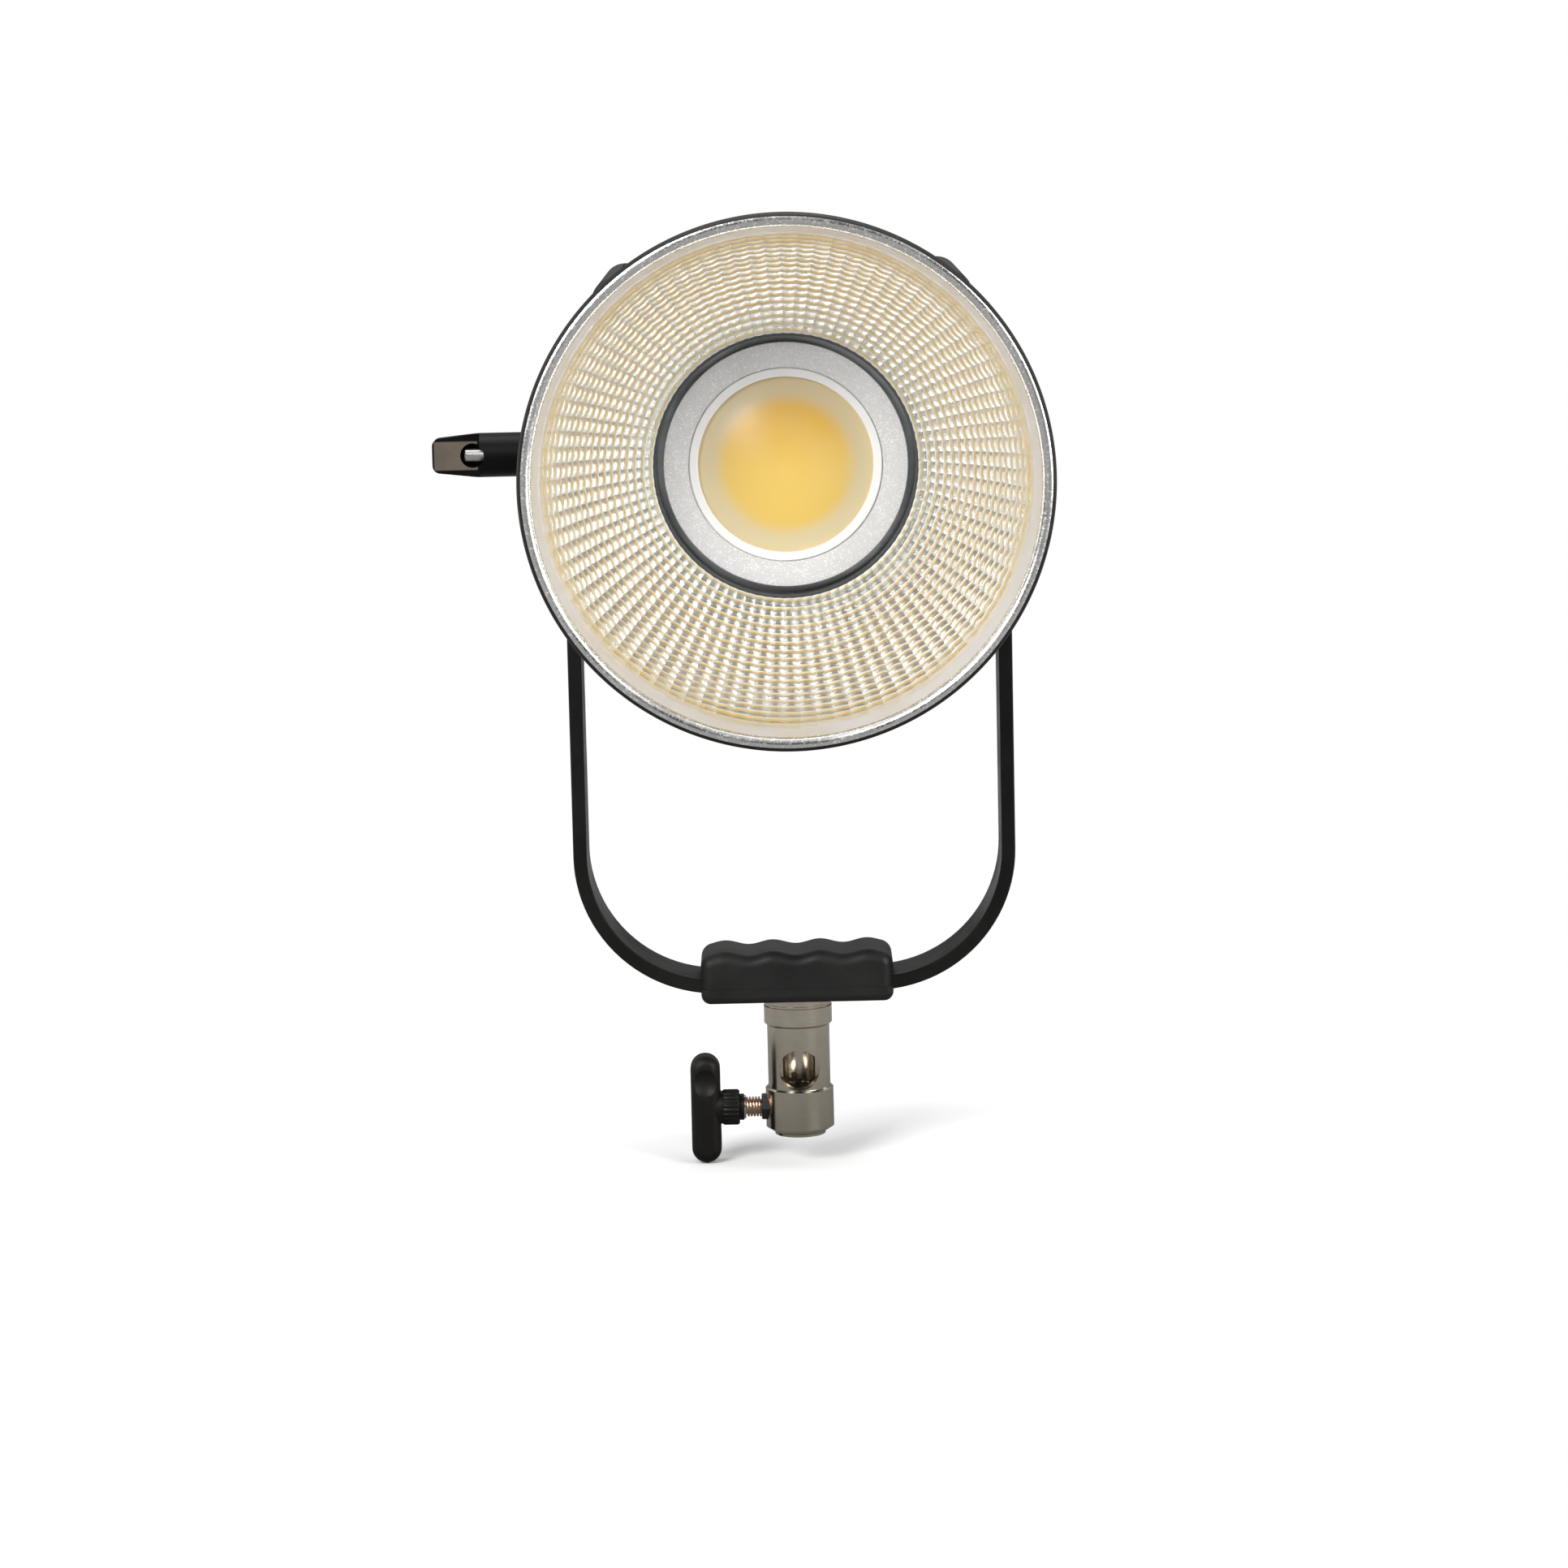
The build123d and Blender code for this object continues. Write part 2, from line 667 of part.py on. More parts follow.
side_length = panel_back - panel_front
side_height = 2 * corner_up - 2 * seat
for side, side_name in ((-1, "left"), (1, "right")):
    with BuildPart() as side_panel:
        with BuildSketch(sideways(side * (case_half - case_wall), case_z)):
            with Locations(((panel_front + panel_back) / 2, 0)):
                Rectangle(side_length, side_height)
            with Locations((0, pivot_z - case_z)):
                Circle(boss_spigot + seat, mode=Mode.SUBTRACT)
                with PolarLocations(boss_screw_circle, 4, start_angle=45):
                    Circle(boss_screw_radius + seat, mode=Mode.SUBTRACT)
            with Locations((83, 0)):
                with GridLocations(9, 1, 9, 1):
                    SlotOverall(96, 4, rotation=90, mode=Mode.SUBTRACT)
        extrude(amount=side * case_wall)
        outer = side_panel.faces().sort_by(Axis.X)[-1 if side > 0 else 0]
        chamfer(outer.outer_wire().edges(), 0.4)
    side_panel.part.label = "side_panel_" + side_name
    export_step(side_panel.part, "parts/side_panel_" + side_name + ".step")

cover_width = 2 * corner_x - 2 * seat
cover_middle = (panel_front + panel_back) / 2
for level, cover_name in ((case_top, "top_cover"), (case_bottom, "bottom_cover")):
    inward = -1 if level > case_z else 1
    with BuildPart() as cover:
        with BuildSketch(Plane.XY.offset(level)):
            with Locations((0, cover_middle)):
                Rectangle(cover_width, side_length)
                with GridLocations(1, 10, 1, 13):
                    SlotOverall(92, 4.4, mode=Mode.SUBTRACT)
        extrude(amount=inward * case_wall)
        outer = cover.faces().sort_by(Axis.Z)[-1 if inward < 0 else 0]
        chamfer(outer.outer_wire().edges(), 0.4)
    cover.part.label = cover_name
    export_step(cover.part, "parts/" + cover_name + ".step")

with BuildPart() as rear_panel:
    with BuildSketch(facing(case_back)):
        add(case_area(0))
        with Locations((0, grille_z)):
            RectangleRounded(grille_width, grille_height, 8, mode=Mode.SUBTRACT)
        with Locations((0, display_z)):
            RectangleRounded(display_width - 6, display_height - 6, 1.5, mode=Mode.SUBTRACT)
        with Locations((-knob_x, knob_z), (knob_x, knob_z)):
            Circle(3.6, mode=Mode.SUBTRACT)
        for place in button_places:
            with Locations((place, button_z)):
                RectangleRounded(button_width, button_height, 1.6, mode=Mode.SUBTRACT)
        with Locations((switch_x, switch_z)):
            Rectangle(19.2, 12.8, mode=Mode.SUBTRACT)
        with Locations((inlet_x, inlet_z)):
            Circle(inlet_radius, mode=Mode.SUBTRACT)
        with Locations((-data_x, data_z), (data_x, data_z)):
            Circle(data_radius, mode=Mode.SUBTRACT)
    extrude(amount=frame_thick)
    fillet(rear_panel.faces().sort_by(Axis.Y)[-1].outer_wire().edges(), 2)
    with BuildSketch(facing(case_back)):
        with Locations((0, display_z)):
            RectangleRounded(display_width, display_height, 2.5)
    extrude(amount=1.5, mode=Mode.SUBTRACT)
    with BuildSketch(facing(case_back)):
        with Locations((0, grille_z)):
            RectangleRounded(grille_width + 8, grille_height + 8, 11)
    extrude(amount=grille_thick, mode=Mode.SUBTRACT)
    with BuildSketch(facing(case_back)):
        with Locations(*screw_spots):
            Circle(case_screw_recess)
    extrude(amount=3, mode=Mode.SUBTRACT)
    with BuildSketch(facing(case_back)):
        with Locations(*screw_spots):
            Circle(case_screw_hole)
    extrude(amount=frame_thick, mode=Mode.SUBTRACT)
rear_panel.part.label = "rear_panel"
export_step(rear_panel.part, "parts/rear_panel.step")

with BuildPart() as rear_grille:
    with BuildSketch(facing(case_back)):
        with Locations((0, grille_z)):
            RectangleRounded(grille_width + 8 - 2 * seat, grille_height + 8 - 2 * seat, 11)
            with GridLocations(grille_width / 2, 8, 2, 10):
                SlotOverall(grille_width / 2 - 7, 4.6, mode=Mode.SUBTRACT)
    extrude(amount=grille_thick)
rear_grille.part.label = "rear_grille"
export_step(rear_grille.part, "parts/rear_grille.step")

with BuildPart() as case_screws:
    for face, inward in ((case_front, -1), (case_back, 1)):
        with BuildSketch(facing(face - inward * 0.4)):
            with Locations(*screw_spots):
                Circle(case_screw_head)
                RegularPolygon(1.5, 6, mode=Mode.SUBTRACT)
        extrude(amount=inward * 1.6)
        with BuildSketch(facing(face - inward * 2.0)):
            with Locations(*screw_spots):
                Circle(case_screw_head)
        extrude(amount=inward * 1.0)
        with BuildSketch(facing(face - inward * 3.0)):
            with Locations(*screw_spots):
                Circle(case_screw_radius)
        extrude(amount=inward * 11)
case_screws.part.label = "case_screws"
export_step(case_screws.part, "parts/case_screws.step")

# ---- Chassis, cooler and electronics ----
chassis_back = panel_front + chassis_thick
spreader_back = chassis_back + spreader_thick
fin_front = spreader_back + pipe_radius + 4
fin_back = fin_front + fin_depth
fan_back = fin_back + fan_depth
pipe_heights = [(n - 1.5) * pipe_spacing for n in range(4)]

with BuildPart() as chassis_plate:
    with BuildSketch(facing(panel_front)):
        with Locations((0, case_rise)):
            inside = case_wall + rail_skin + seat
            RectangleRounded(case_width - 2 * inside, case_height - 2 * inside, case_corner - inside)
        with Locations(*screw_spots):
            Circle(rail_radius + seat, mode=Mode.SUBTRACT)
        RectangleRounded(board_side + 4, board_side + 4, 3, mode=Mode.SUBTRACT)
        with GridLocations(2 * rod_spacing, 2 * rod_spacing, 2, 2):
            Circle(2, mode=Mode.SUBTRACT)
    extrude(amount=-chassis_thick)
chassis_plate.part.label = "chassis_plate"
export_step(chassis_plate.part, "parts/chassis_plate.step")

with BuildPart() as side_brackets:
    for side in (-1, 1):
        with BuildSketch(sideways(side * boss_end)):
            with Locations(((chassis_back + 30) / 2, 0)):
                Rectangle(30 - chassis_back, 2 * boss_radius + 4)
            Circle(boss_spigot + seat, mode=Mode.SUBTRACT)
            with PolarLocations(boss_screw_circle, 4, start_angle=45):
                Circle(boss_screw_radius, mode=Mode.SUBTRACT)
        extrude(amount=side * bracket_thick)
        with BuildSketch(sideways(side * boss_end)):
            with Locations((chassis_back + 2, 0)):
                Rectangle(4, 2 * boss_radius + 4)
        extrude(amount=-side * 8)
side_brackets.part.label = "side_brackets"
export_step(side_brackets.part, "parts/side_brackets.step")

with BuildPart() as heat_pipes:
    for number, height in enumerate(pipe_heights):
        turn = 1 if number % 2 else -1
        base_y = spreader_back
        top_y = base_y + 2 * pipe_bend
        bend_x = turn * (fin_spacing * (fin_count - 1) / 2 + 4)
        with BuildLine(Plane.XY.offset(optic_z + height)) as pipe_path:
            Line((-turn * 40, base_y), (bend_x, base_y))
            outermost = (bend_x + turn * pipe_bend, base_y + pipe_bend)
            ThreePointArc((bend_x, base_y), outermost, (bend_x, top_y))
            Line((bend_x, top_y), (-bend_x, top_y))
        with BuildSketch(sideways(-turn * 40, optic_z + height)):
            with Locations((base_y, 0)):
                Circle(pipe_radius)
        sweep(path=pipe_path.wires()[0])
heat_pipes.part.label = "heat_pipes"
export_step(heat_pipes.part, "parts/heat_pipes.step")

with BuildPart() as heat_spreader:
    with BuildSketch(facing(chassis_back)):
        RectangleRounded(spreader_side, spreader_side, 2)
    extrude(amount=-spreader_thick)
    with BuildSketch(sideways(-case_half, optic_z)):
        for height in pipe_heights:
            with Locations((spreader_back, height)):
                Circle(pipe_radius)
    extrude(amount=case_width, mode=Mode.SUBTRACT)
heat_spreader.part.label = "heat_spreader"
export_step(heat_spreader.part, "parts/heat_spreader.step")

with BuildPart() as fin_stack:
    for number in range(fin_count):
        fin_x = (number - (fin_count - 1) / 2) * fin_spacing
        with BuildSketch(sideways(fin_x - fin_thick / 2, optic_z)):
            with Locations(((fin_front + fin_back) / 2, 0)):
                Rectangle(fin_depth, 2 * fin_half_height)
            for height in pipe_heights:
                with Locations((spreader_back + 2 * pipe_bend, height)):
                    Circle(pipe_radius, mode=Mode.SUBTRACT)
        extrude(amount=fin_thick)
fin_stack.part.label = "fin_stack"
export_step(fin_stack.part, "parts/fin_stack.step")

with BuildPart() as fan_frame:
    with BuildSketch(facing(fin_back)):
        RectangleRounded(fan_side, fan_side, 5)
        Circle(fan_bore, mode=Mode.SUBTRACT)
        with GridLocations(2 * rod_spacing, 2 * rod_spacing, 2, 2):
            Circle(2, mode=Mode.SUBTRACT)
    extrude(amount=-fan_depth)
    with BuildSketch(facing(fan_back)):
        for number in range(4):
            with Locations(Location((0, 0), 45 + 90 * number)):
                with Locations((fan_bore / 2 + 2, 0)):
                    Rectangle(fan_bore + 4, 5)
        Circle(fan_hub_radius)
    extrude(amount=2.5)
    with BuildSketch(facing(fan_back - 2.5)):
        Circle(3)
    extrude(amount=14)
fan_frame.part.label = "fan_frame"
export_step(fan_frame.part, "parts/fan_frame.step")

with BuildPart() as fan_rotor:
    with BuildSketch(facing(fin_back + 2)):
        Circle(fan_hub_radius)
    extrude(amount=-(fan_depth - 5.5))
    with BuildSketch(facing(fan_back - 3.5)):
        Circle(3 + running)
    extrude(amount=13.5, mode=Mode.SUBTRACT)
    for number in range(fan_blades):
        turn = radians(360 / fan_blades * number)
        outward = (sin(turn), 0, cos(turn))
        root = Plane(origin=(0, (fin_back + fan_back) / 2, optic_z), z_dir=outward)
        with BuildSketch(root.offset(fan_hub_radius - 3)):
            Rectangle(1.8, 20, rotation=48)
        with BuildSketch(root.offset(fan_blade_radius)):
            Rectangle(1.4, 20, rotation=62)
        loft()
    with BuildSketch(Plane.XY.offset(optic_z)):
        hoop(0, fan_blade_radius, fin_back + 1, fan_back - 3.2)
    revolve(axis=optic, mode=Mode.INTERSECT)
fan_rotor.part.label = "fan_rotor"
export_step(fan_rotor.part, "parts/fan_rotor.step")

with BuildPart() as fan_rods:
    with BuildSketch(facing(panel_front)):
        with GridLocations(2 * rod_spacing, 2 * rod_spacing, 2, 2):
            Circle(2)
    extrude(amount=panel_front - fan_back)
    with BuildSketch(facing(fan_back)):
        with GridLocations(2 * rod_spacing, 2 * rod_spacing, 2, 2):
            RegularPolygon(4, 6)
    extrude(amount=-3.2)
fan_rods.part.label = "fan_rods"
export_step(fan_rods.part, "parts/fan_rods.step")

with BuildPart() as driver_board:
    with BuildSketch(Plane.XY.offset(case_bottom + 14)):
        with Locations((0, 40)):
            Rectangle(124, 120)
    extrude(amount=1.6)
    with BuildSketch(Plane.XY.offset(case_bottom + 15.6)):
        with Locations((-36, 20)):
            Rectangle(30, 26)
        with Locations((36, 20)):
            Rectangle(24, 24)
        with Locations((0, 72)):
            with GridLocations(24, 1, 4, 1):
                Circle(6)
        with Locations((0, 0)):
            Rectangle(20, 34)
    extrude(amount=9)
driver_board.part.label = "driver_board"
export_step(driver_board.part, "parts/driver_board.step")

board_front = panel_back - 12
with BuildPart() as control_board:
    with BuildSketch(facing(board_front)):
        with Locations((0, (display_z + button_z) / 2)):
            Rectangle(146, 44)
    extrude(amount=-1.6)
    with BuildSketch(facing(board_front + 1.6)):
        with Locations((0, display_z)):
            Rectangle(display_width - 8, display_height - 8)
    extrude(amount=-(case_back - 1.5 - 1.8 - board_front - 1.6))
    with BuildSketch(facing(board_front + 1.6)):
        for place in button_places:
            with Locations((place, button_z)):
                Rectangle(7, 5.5)
    extrude(amount=-(panel_back - 1.6 - button_travel - seat - board_front - 1.6))
    with BuildSketch(facing(board_front + 1.6)):
        with Locations((-knob_x, knob_z), (knob_x, knob_z)):
            Rectangle(12, 12)
    extrude(amount=-(panel_back - board_front - 1.6))
    with BuildSketch(facing(panel_back)):
        with Locations((-knob_x, knob_z), (knob_x, knob_z)):
            Circle(encoder_radius)
    extrude(amount=-(frame_thick + 9))
control_board.part.label = "control_board"
export_step(control_board.part, "parts/control_board.step")

with BuildPart() as display_window:
    with BuildSketch(facing(case_back)):
        with Locations((0, display_z)):
            RectangleRounded(display_width - 2 * seat, display_height - 2 * seat, 2.4)
    extrude(amount=1.5)
display_window.part.label = "display_window"
export_step(display_window.part, "parts/display_window.step")

# ---- Rear controls ----
knobs = (("dimmer_knob", -knob_x, 15.5), ("effect_knob", knob_x, 11.5))
for knob_name, place, knob_radius in knobs:
    with BuildPart() as knob:
        with BuildSketch(facing(case_back + 0.5)):
            with Locations((place, knob_z)):
                Circle(knob_radius)
                with PolarLocations(knob_radius + 0.4, 30):
                    Circle(0.9, mode=Mode.SUBTRACT)
        extrude(amount=-knob_height)
        with BuildSketch(facing(case_back + knob_height - 0.5)):
            with Locations((place, knob_z)):
                Circle(knob_radius + 1)
                Circle(knob_radius - 1.8, mode=Mode.SUBTRACT)
        extrude(amount=-1, mode=Mode.SUBTRACT)
        with BuildSketch(facing(case_back + 0.5)):
            with Locations((place, knob_z)):
                Circle(encoder_radius + running)
        extrude(amount=-9, mode=Mode.SUBTRACT)
        with BuildSketch(facing(case_back + 0.5 + knob_height)):
            with Locations((place, knob_z + knob_radius - 4.5)):
                SlotOverall(4.5, 1.2, rotation=90)
        extrude(amount=0.5, mode=Mode.SUBTRACT)
    knob.part.label = knob_name
    export_step(knob.part, "parts/" + knob_name + ".step")

for place, button_name in zip(button_places, ("button_left", "button_middle", "button_right")):
    with BuildPart() as button:
        with BuildSketch(facing(panel_back - 1.6)):
            with Locations((place, button_z)):
                RectangleRounded(button_width + 2, button_height + 2, 1.6)
        extrude(amount=-1.3)
        with BuildSketch(facing(panel_back - 0.4)):
            with Locations((place, button_z)):
                RectangleRounded(button_width - 2 * play, button_height - 2 * play, 1.4)
        extrude(amount=-(frame_thick + 0.4 + button_travel + 0.6))
        fillet(button.faces().sort_by(Axis.Y)[-1].edges(), 0.6)
    button.part.label = button_name
    export_step(button.part, "parts/" + button_name + ".step")

rocker_y = case_back + 0.5
with BuildPart() as switch_frame:
    with BuildSketch(facing(case_back)):
        with Locations((switch_x, switch_z)):
            RectangleRounded(23, 16.4, 1.5)
    extrude(amount=-1.5)
    with BuildSketch(facing(case_back)):
        with Locations((switch_x, switch_z)):
            Rectangle(19, 12.6)
    extrude(amount=14)
    with BuildSketch(facing(case_back + 1.5)):
        with Locations((switch_x, switch_z)):
            Rectangle(16.4, 10.2)
    extrude(amount=11, mode=Mode.SUBTRACT)
    with BuildSketch(sideways(switch_x - 9.5, optic_z + switch_z)):
        with Locations((rocker_y - 4, 0)):
            Circle(1.2)
    extrude(amount=19)
switch_frame.part.label = "switch_frame"
export_step(switch_frame.part, "parts/switch_frame.step")

rocker_tilt = radians(-rocker_throw / 2)
rocker_plane = Plane(
    origin=(switch_x - 7.9, rocker_y - 4, optic_z + switch_z),
    x_dir=(0, cos(rocker_tilt), sin(rocker_tilt)),
    z_dir=(1, 0, 0),
)
with BuildPart() as power_switch:
    with BuildSketch(rocker_plane):
        with BuildLine():
            upper = ((4.4, 0), (5.4, 4.1), (4.4, 4.3), (-3, 2.2))
            lower = ((-3, -2.2), (4.4, -4.3), (5.4, -4.1))
            Polyline(*upper, *lower, close=True)
        make_face()
        Circle(1.2 + running, mode=Mode.SUBTRACT)
    extrude(amount=15.8)
power_switch.part.label = "power_switch"
export_step(power_switch.part, "parts/power_switch.step")

with BuildPart() as power_inlet:
    with BuildSketch(facing(case_back)):
        with Locations((inlet_x, inlet_z)):
            RectangleRounded(27, 27, 3)
    extrude(amount=-2)
    with BuildSketch(facing(case_back + 2)):
        with Locations((inlet_x, inlet_z)):
            Circle(inlet_radius - seat)
    extrude(amount=26)
    with BuildSketch(facing(case_back + 2)):
        with Locations((inlet_x, inlet_z)):
            Circle(inlet_radius)
    extrude(amount=-6)
    with BuildSketch(facing(case_back + 8)):
        with Locations((inlet_x, inlet_z)):
            Circle(inlet_radius - 1.6)
    extrude(amount=18, mode=Mode.SUBTRACT)
    with BuildSketch(facing(case_back - 10)):
        with Locations((inlet_x, inlet_z)):
            with PolarLocations(4.6, 3, start_angle=90):
                Circle(1.2)
    extrude(amount=-12)
power_inlet.part.label = "power_inlet"
export_step(power_inlet.part, "parts/power_inlet.step")

with BuildPart() as data_sockets:
    with BuildSketch(facing(case_back)):
        with Locations((-data_x, data_z), (data_x, data_z)):
            RectangleRounded(21, 21, 2.5)
    extrude(amount=-1.6)
    with BuildSketch(facing(case_back + 1.6)):
        with Locations((-data_x, data_z), (data_x, data_z)):
            Circle(data_radius - seat)
    extrude(amount=20)
    with BuildSketch(facing(case_back + 1.6)):
        with Locations((-data_x, data_z), (data_x, data_z)):
            Circle(data_radius - 1.6)
    extrude(amount=12, mode=Mode.SUBTRACT)
    with BuildSketch(facing(case_back - 10.4)):
        with Locations((-data_x, data_z), (data_x, data_z)):
            with PolarLocations(4, 5, start_angle=18):
                Circle(0.7)
    extrude(amount=-8)
data_sockets.part.label = "data_sockets"
export_step(data_sockets.part, "parts/data_sockets.step")

# ---- Light source ----
ledge = disc_front + 6
with BuildPart() as front_disc:
    with BuildSketch(Plane.XY.offset(optic_z)):
        hoop(retainer_outer + seat, disc_radius, disc_front, ledge - 1.5)
        hoop(retainer_inner + 0.5, disc_radius, ledge - 1.5, ledge)
        hoop(disc_radius - 4, disc_radius, ledge, panel_front)
    revolve(axis=optic)
    chamfer(front_disc.edges().filter_by(GeomType.CIRCLE).group_by(Axis.Y)[0], 0.4)
front_disc.part.label = "front_disc"
export_step(front_disc.part, "parts/front_disc.step")

glass_front = ledge - 1.5 - 2
with BuildPart() as dome_retainer:
    with BuildSketch(Plane.XY.offset(optic_z)):
        hoop(retainer_inner, retainer_outer, disc_front - 1, glass_front)
        hoop(retainer_outer - 1.6, retainer_outer, glass_front, ledge - 1.5)
    revolve(axis=optic)
    fillet(dome_retainer.edges().filter_by(GeomType.CIRCLE).group_by(Axis.Y)[0], 0.5)
dome_retainer.part.label = "dome_retainer"
export_step(dome_retainer.part, "parts/dome_retainer.step")

sphere = (dome_radius**2 + dome_rise**2) / (2 * dome_rise)
inner_sphere = sphere - glass_thick
glass_back = ledge - 1.5
apex = glass_front - dome_rise
sphere_y = apex + sphere
inner_edge = sqrt(inner_sphere**2 - (sphere_y - glass_back) ** 2)
flange_edge = retainer_outer - 1.6 - seat
with BuildPart() as glass_dome:
    with BuildSketch(Plane.XY.offset(optic_z)):
        with BuildLine():
            half_x = dome_radius / 2
            outer_half = (half_x, sphere_y - sqrt(sphere**2 - half_x**2))
            inner_half = (half_x, sphere_y - sqrt(inner_sphere**2 - half_x**2))
            ThreePointArc((0, apex), outer_half, (dome_radius, glass_front))
            Polyline((dome_radius, glass_front), (flange_edge, glass_front), (flange_edge, glass_back))
            Line((flange_edge, glass_back), (inner_edge, glass_back))
            ThreePointArc((inner_edge, glass_back), inner_half, (0, apex + glass_thick))
            Line((0, apex + glass_thick), (0, apex))
        make_face()
    revolve(axis=optic)
glass_dome.part.label = "glass_dome"
export_step(glass_dome.part, "parts/glass_dome.step")

with BuildPart() as cob_board:
    with BuildSketch(facing(chassis_back - 2)):
        RectangleRounded(board_side, board_side, 2)
        with GridLocations(board_side - 7, board_side - 7, 2, 2):
            Circle(1.7, mode=Mode.SUBTRACT)
    extrude(amount=-2)
cob_board.part.label = "cob_board"
export_step(cob_board.part, "parts/cob_board.step")

with BuildPart() as cob_emitter:
    with BuildSketch(facing(chassis_back - 2)):
        Circle(emitter_radius)
    extrude(amount=0.8)
    chamfer(cob_emitter.faces().sort_by(Axis.Y)[0].edges(), 0.3)
cob_emitter.part.label = "cob_emitter"
export_step(cob_emitter.part, "parts/cob_emitter.step")

# ---- Bayonet throat ----
with BuildPart() as mount_throat:
    with BuildSketch(Plane.XY.offset(optic_z)):
        hoop(throat_inner, throat_outer, -50, case_front)
        hoop(throat_inner, throat_inner + throat_sleeve, -57.2, -50)
        hoop(lug_outer + play, throat_outer, lip_front, -50)
        hoop(ring_outer + play, lug_outer + play, lip_front, lug_front - play)
    revolve(axis=optic)
    with BuildSketch(facing(lip_front)):
        with PolarLocations(0, lug_count, start_angle=90 + 60):
            with BuildLine():
                CenterArc((0, 0), lug_outer + play, -lug_angle / 2 - 3, lug_angle + 6)
                half = radians(lug_angle / 2 + 3)
                far = lug_outer + play
                Line((far * cos(half), far * sin(half)), (60 * cos(half), 60 * sin(half)))
                Line((60 * cos(half), 60 * sin(half)), (60 * cos(half), -60 * sin(half)))
                Line((60 * cos(half), -60 * sin(half)), (far * cos(half), -far * sin(half)))
            make_face()
        Circle(ring_outer + play, mode=Mode.SUBTRACT)
    extrude(amount=-(lug_front - play - lip_front), mode=Mode.SUBTRACT)
    with BuildSketch(sideways(lug_outer - 1, optic_z)):
        with Locations((latch_y, 0)):
            Circle(3.1)
    extrude(amount=6, mode=Mode.SUBTRACT)
mount_throat.part.label = "mount_throat"
export_step(mount_throat.part, "parts/mount_throat.step")

# ---- Reflector ----
flange_back = bowl_back + 0.2
flange_front = flange_back - bowl_wall
rivet_places = PolarLocations(rivet_circle, 6, start_angle=0)
bead_inner = rim_radius - 2 * bead_radius
bead_y = rim_front + bead_radius
chord_r = bead_inner - bowl_back_radius
chord_y = bead_y - bowl_back
chord = sqrt(chord_r**2 + chord_y**2)
out_r = -chord_y / chord
out_y = chord_r / chord
middle_r = (bowl_back_radius + bead_inner) / 2 + bowl_sag * out_r
middle_y = (bowl_back + bead_y) / 2 + bowl_sag * out_y
with BuildPart() as reflector:
    with BuildSketch(Plane.XY.offset(optic_z)):
        with BuildLine():
            outer_back = (bowl_back_radius + 2.1, flange_back)
            outer_middle = (middle_r + bowl_wall * out_r, middle_y + bowl_wall * out_y)
            outer_front = (bead_inner + bowl_wall * out_r, bead_y + bowl_wall * out_y)
            ThreePointArc((bowl_back_radius, bowl_back), (middle_r, middle_y), (bead_inner, bead_y))
            Line((bead_inner, bead_y), outer_front)
            ThreePointArc(outer_front, outer_middle, outer_back)
            Polyline(outer_back, (bowl_back_radius, flange_back), (bowl_back_radius, bowl_back))
        make_face()
        with Locations((rim_radius - bead_radius, bead_y)):
            Circle(bead_radius)
        hoop(bowl_back_radius, throat_outer, flange_front, flange_back)
    revolve(axis=optic)
    with BuildSketch(facing(flange_front)):
        with rivet_places:
            Circle(1.6)
    extrude(amount=-bowl_wall, mode=Mode.SUBTRACT)
reflector.part.label = "reflector"
export_step(reflector.part, "parts/reflector.step")

with BuildPart() as reflector_ring:
    with BuildSketch(Plane.XY.offset(optic_z)):
        hoop(ring_inner, ring_outer, flange_back, ring_back)
        hoop(ring_inner, throat_outer, flange_back, flange_back + 1.8)
    revolve(axis=optic)
    with BuildSketch(facing(lug_front)):
        for number in range(lug_count):
            with BuildLine():
                middle = 90 + 360 / lug_count * number
                low_angle = radians(middle - lug_angle / 2)
                high_angle = radians(middle + lug_angle / 2)
                root = ring_outer - 2
                CenterArc((0, 0), lug_outer, middle - lug_angle / 2, lug_angle)
                tip = (lug_outer * cos(high_angle), lug_outer * sin(high_angle))
                foot = (root * cos(high_angle), root * sin(high_angle))
                other_foot = (root * cos(low_angle), root * sin(low_angle))
                other_tip = (lug_outer * cos(low_angle), lug_outer * sin(low_angle))
                Line(tip, foot)
                Line(foot, other_foot)
                Line(other_foot, other_tip)
            make_face()
        Circle(ring_outer - 0.5, mode=Mode.SUBTRACT)
    extrude(amount=-lug_thick)
    with BuildSketch(facing(flange_back)):
        with rivet_places:
            Circle(1.6)
    extrude(amount=-1.8, mode=Mode.SUBTRACT)
    with BuildSketch(sideways(ring_inner - 1, optic_z)):
        with Locations((latch_y, 0)):
            Circle(latch_pin_radius + seat)
    extrude(amount=8, mode=Mode.SUBTRACT)
reflector_ring.part.label = "reflector_ring"
export_step(reflector_ring.part, "parts/reflector_ring.step")

with BuildPart() as reflector_rivets:
    with BuildSketch(facing(flange_front)):
        with rivet_places:
            Circle(2.6)
    extrude(amount=1.1)
    fillet(reflector_rivets.faces().sort_by(Axis.Y)[:6].edges(), 0.8)
    with BuildSketch(facing(flange_front)):
        with rivet_places:
            Circle(1.6)
    extrude(amount=-bowl_wall - 1.8)
reflector_rivets.part.label = "reflector_rivets"
export_step(reflector_rivets.part, "parts/reflector_rivets.step")

